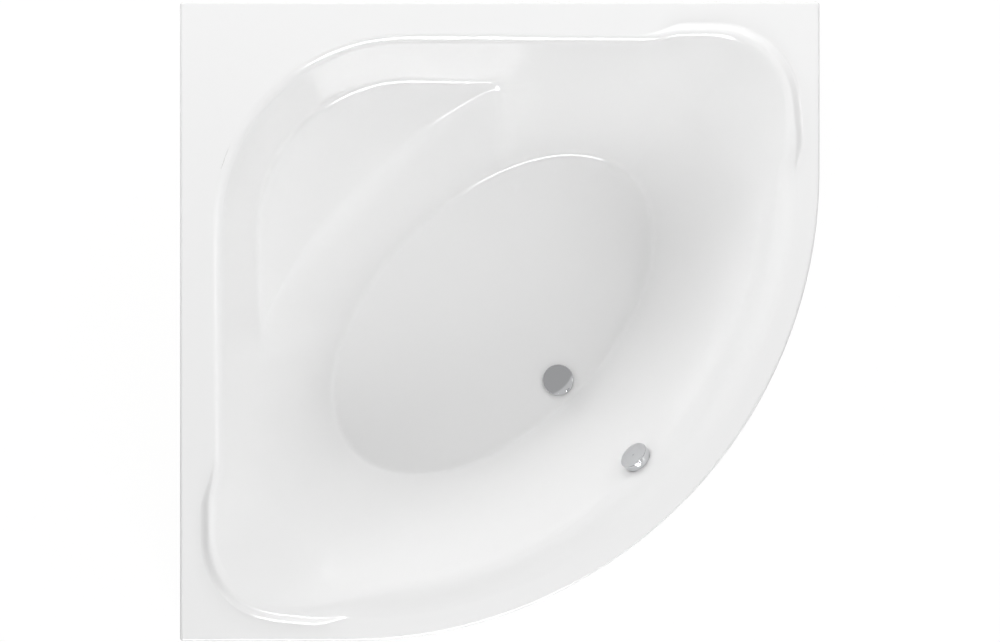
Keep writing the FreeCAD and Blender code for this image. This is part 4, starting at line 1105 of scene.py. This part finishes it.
@dataclass(frozen=True)
class Studio:
    """Camera straight overhead, pale floor, white backdrop and soft lamps."""

    camera_place: tuple[float, float, float] = (0.00055, 0.0011, 60.58)
    rim_height: float = 0.58
    millimetres_per_pixel: float = 2.189
    picture_width: float = 1000.0
    sensor_width: float = 36.0
    view_distance: float = 200.0
    floor_half: float = 6.0
    floor_drop: float = 0.0005
    floor_colour: str = "#E6E6E6"
    floor_roughness: float = 0.9
    # What the camera sees of the floor is mostly its own white; the rest takes the bath's shadow
    floor_glow: float = 1.03
    glow_share: float = 0.93
    world_light: float = 0.13
    lamps: tuple[Lamp, ...] = (
        Lamp(45, 30, 22.5), Lamp(270, 30, 22.4), Lamp(135, 60, 21.8), Lamp(90, 15, 19.9),
        Lamp(270, 15, 17.3), Lamp(135, 15, 14.8), Lamp(0, 60, 12.6), Lamp(315, 30, 12.0),
        Lamp(90, 30, 7.7), Lamp(180, 30, 7.7), Lamp(225, 30, 5.1), Lamp(180, 60, 3.5),
    )
    surroundings: float = 0.85
    ceiling: Reflection = Reflection(135, 50, 58, 3, -0.28)
    windows: tuple[Reflection, ...] = (
        Reflection(265, 44, 9, 2, 24.0), Reflection(288, 44, 9, 2, 24.0),
        Reflection(0, 50, 6, 4, 3.0),
    )

    def camera(self) -> None:
        """Camera that looks straight down; its lens gives the rim its size in the picture."""
        data = bpy.data.cameras.new("camera")
        distance = self.camera_place[2] - self.rim_height
        picture = self.millimetres_per_pixel * self.picture_width * MM
        data.lens = self.sensor_width * distance / picture
        data.clip_end = self.view_distance
        camera = bpy.data.objects.new("camera", data)
        camera.location = self.camera_place
        bpy.context.scene.collection.objects.link(camera)
        bpy.context.scene.camera = camera

    def floor_material(self) -> bpy.types.Material:
        """Floor that is white to the camera, pale to everything else, and clear from below.

        Returns:
            The material.
        """
        material = bpy.data.materials.new("Pale studio floor")
        material.use_nodes = True
        tree = material.node_tree
        shader = tree.nodes["Principled BSDF"]
        shader.inputs["Base Color"].default_value = linear(self.floor_colour)
        shader.inputs["Roughness"].default_value = self.floor_roughness
        seen = add(tree, "LightPath").outputs
        inputs = {0: seen["Is Camera Ray"], 1: seen["Is Glossy Ray"]}
        direct = add(tree, "Math", inputs, operation="MAXIMUM").outputs["Value"]
        inputs = {0: direct, 1: self.glow_share}
        share = add(tree, "Math", inputs, operation="MULTIPLY").outputs["Value"]
        glow = add(tree, "Emission", {"Strength": self.floor_glow}).outputs["Emission"]
        inputs = {0: share, 1: shader.outputs["BSDF"], 2: glow}
        lit = add(tree, "MixShader", inputs).outputs["Shader"]
        below = add(tree, "NewGeometry").outputs["Backfacing"]
        clear = add(tree, "BsdfTransparent").outputs["BSDF"]
        whole = add(tree, "MixShader", {0: below, 1: lit, 2: clear}).outputs["Shader"]
        tree.links.new(whole, tree.nodes["Material Output"].inputs["Surface"])
        return material

    def floor(self) -> None:
        """Floor, a little below the feet."""
        form = bmesh.new()
        place = Matrix.Translation((0, 0, -self.floor_drop))
        bmesh.ops.create_grid(form, x_segments=1, y_segments=1, size=self.floor_half, matrix=place)
        mesh = bpy.data.meshes.new("floor")
        form.to_mesh(mesh)
        form.free()
        mesh.materials.append(self.floor_material())
        floor = bpy.data.objects.new("floor", mesh)
        bpy.context.scene.collection.objects.link(floor)

    def world(self) -> None:
        """Even light, white to the camera; gloss mirrors a pale room, its ceiling and windows."""
        world = bpy.data.worlds.new("studio")
        bpy.context.scene.world = world
        world.use_nodes = True
        tree = world.node_tree
        even = tree.nodes["Background"]
        even.inputs["Strength"].default_value = self.world_light
        even.inputs["Color"].default_value = linear("#FFFFFF")
        seen = add(tree, "LightPath").outputs
        way = add(tree, "TexCoord").outputs["Generated"]
        level = self.surroundings
        for patch in (self.ceiling, *self.windows):
            level = add(tree, "Math", {0: patch.share(tree, way), 1: level}).outputs["Value"]
        gloss = add(tree, "Background", {"Strength": level}).outputs["Background"]
        white = add(tree, "Background", {"Color": linear("#FFFFFF")}).outputs["Background"]
        inputs = {0: seen["Is Glossy Ray"], 1: even.outputs["Background"], 2: gloss}
        lit = add(tree, "MixShader", inputs).outputs["Shader"]
        inputs = {0: seen["Is Camera Ray"], 1: seen["Is Transmission Ray"]}
        direct = add(tree, "Math", inputs, operation="MAXIMUM").outputs["Value"]
        whole = add(tree, "MixShader", {0: direct, 1: lit, 2: white}).outputs["Shader"]
        tree.links.new(whole, tree.nodes["World Output"].inputs["Surface"])

    def build(self) -> None:
        """Sets up the studio."""
        bpy.context.scene.view_settings.view_transform = "Standard"
        self.camera()
        self.floor()
        self.world()
        for lamp in self.lamps:
            lamp.build()


def main() -> None:
    """Builds and dresses the whole scene."""
    logging.basicConfig(level=logging.INFO, format="%(message)s")
    for part in (Studio(), Shell(), Foot(), Fasteners(), Plumbing(), Steelwork()):
        part.build()
        log.info("%s done", type(part).__name__)


if __name__ == "__main__":
    main()
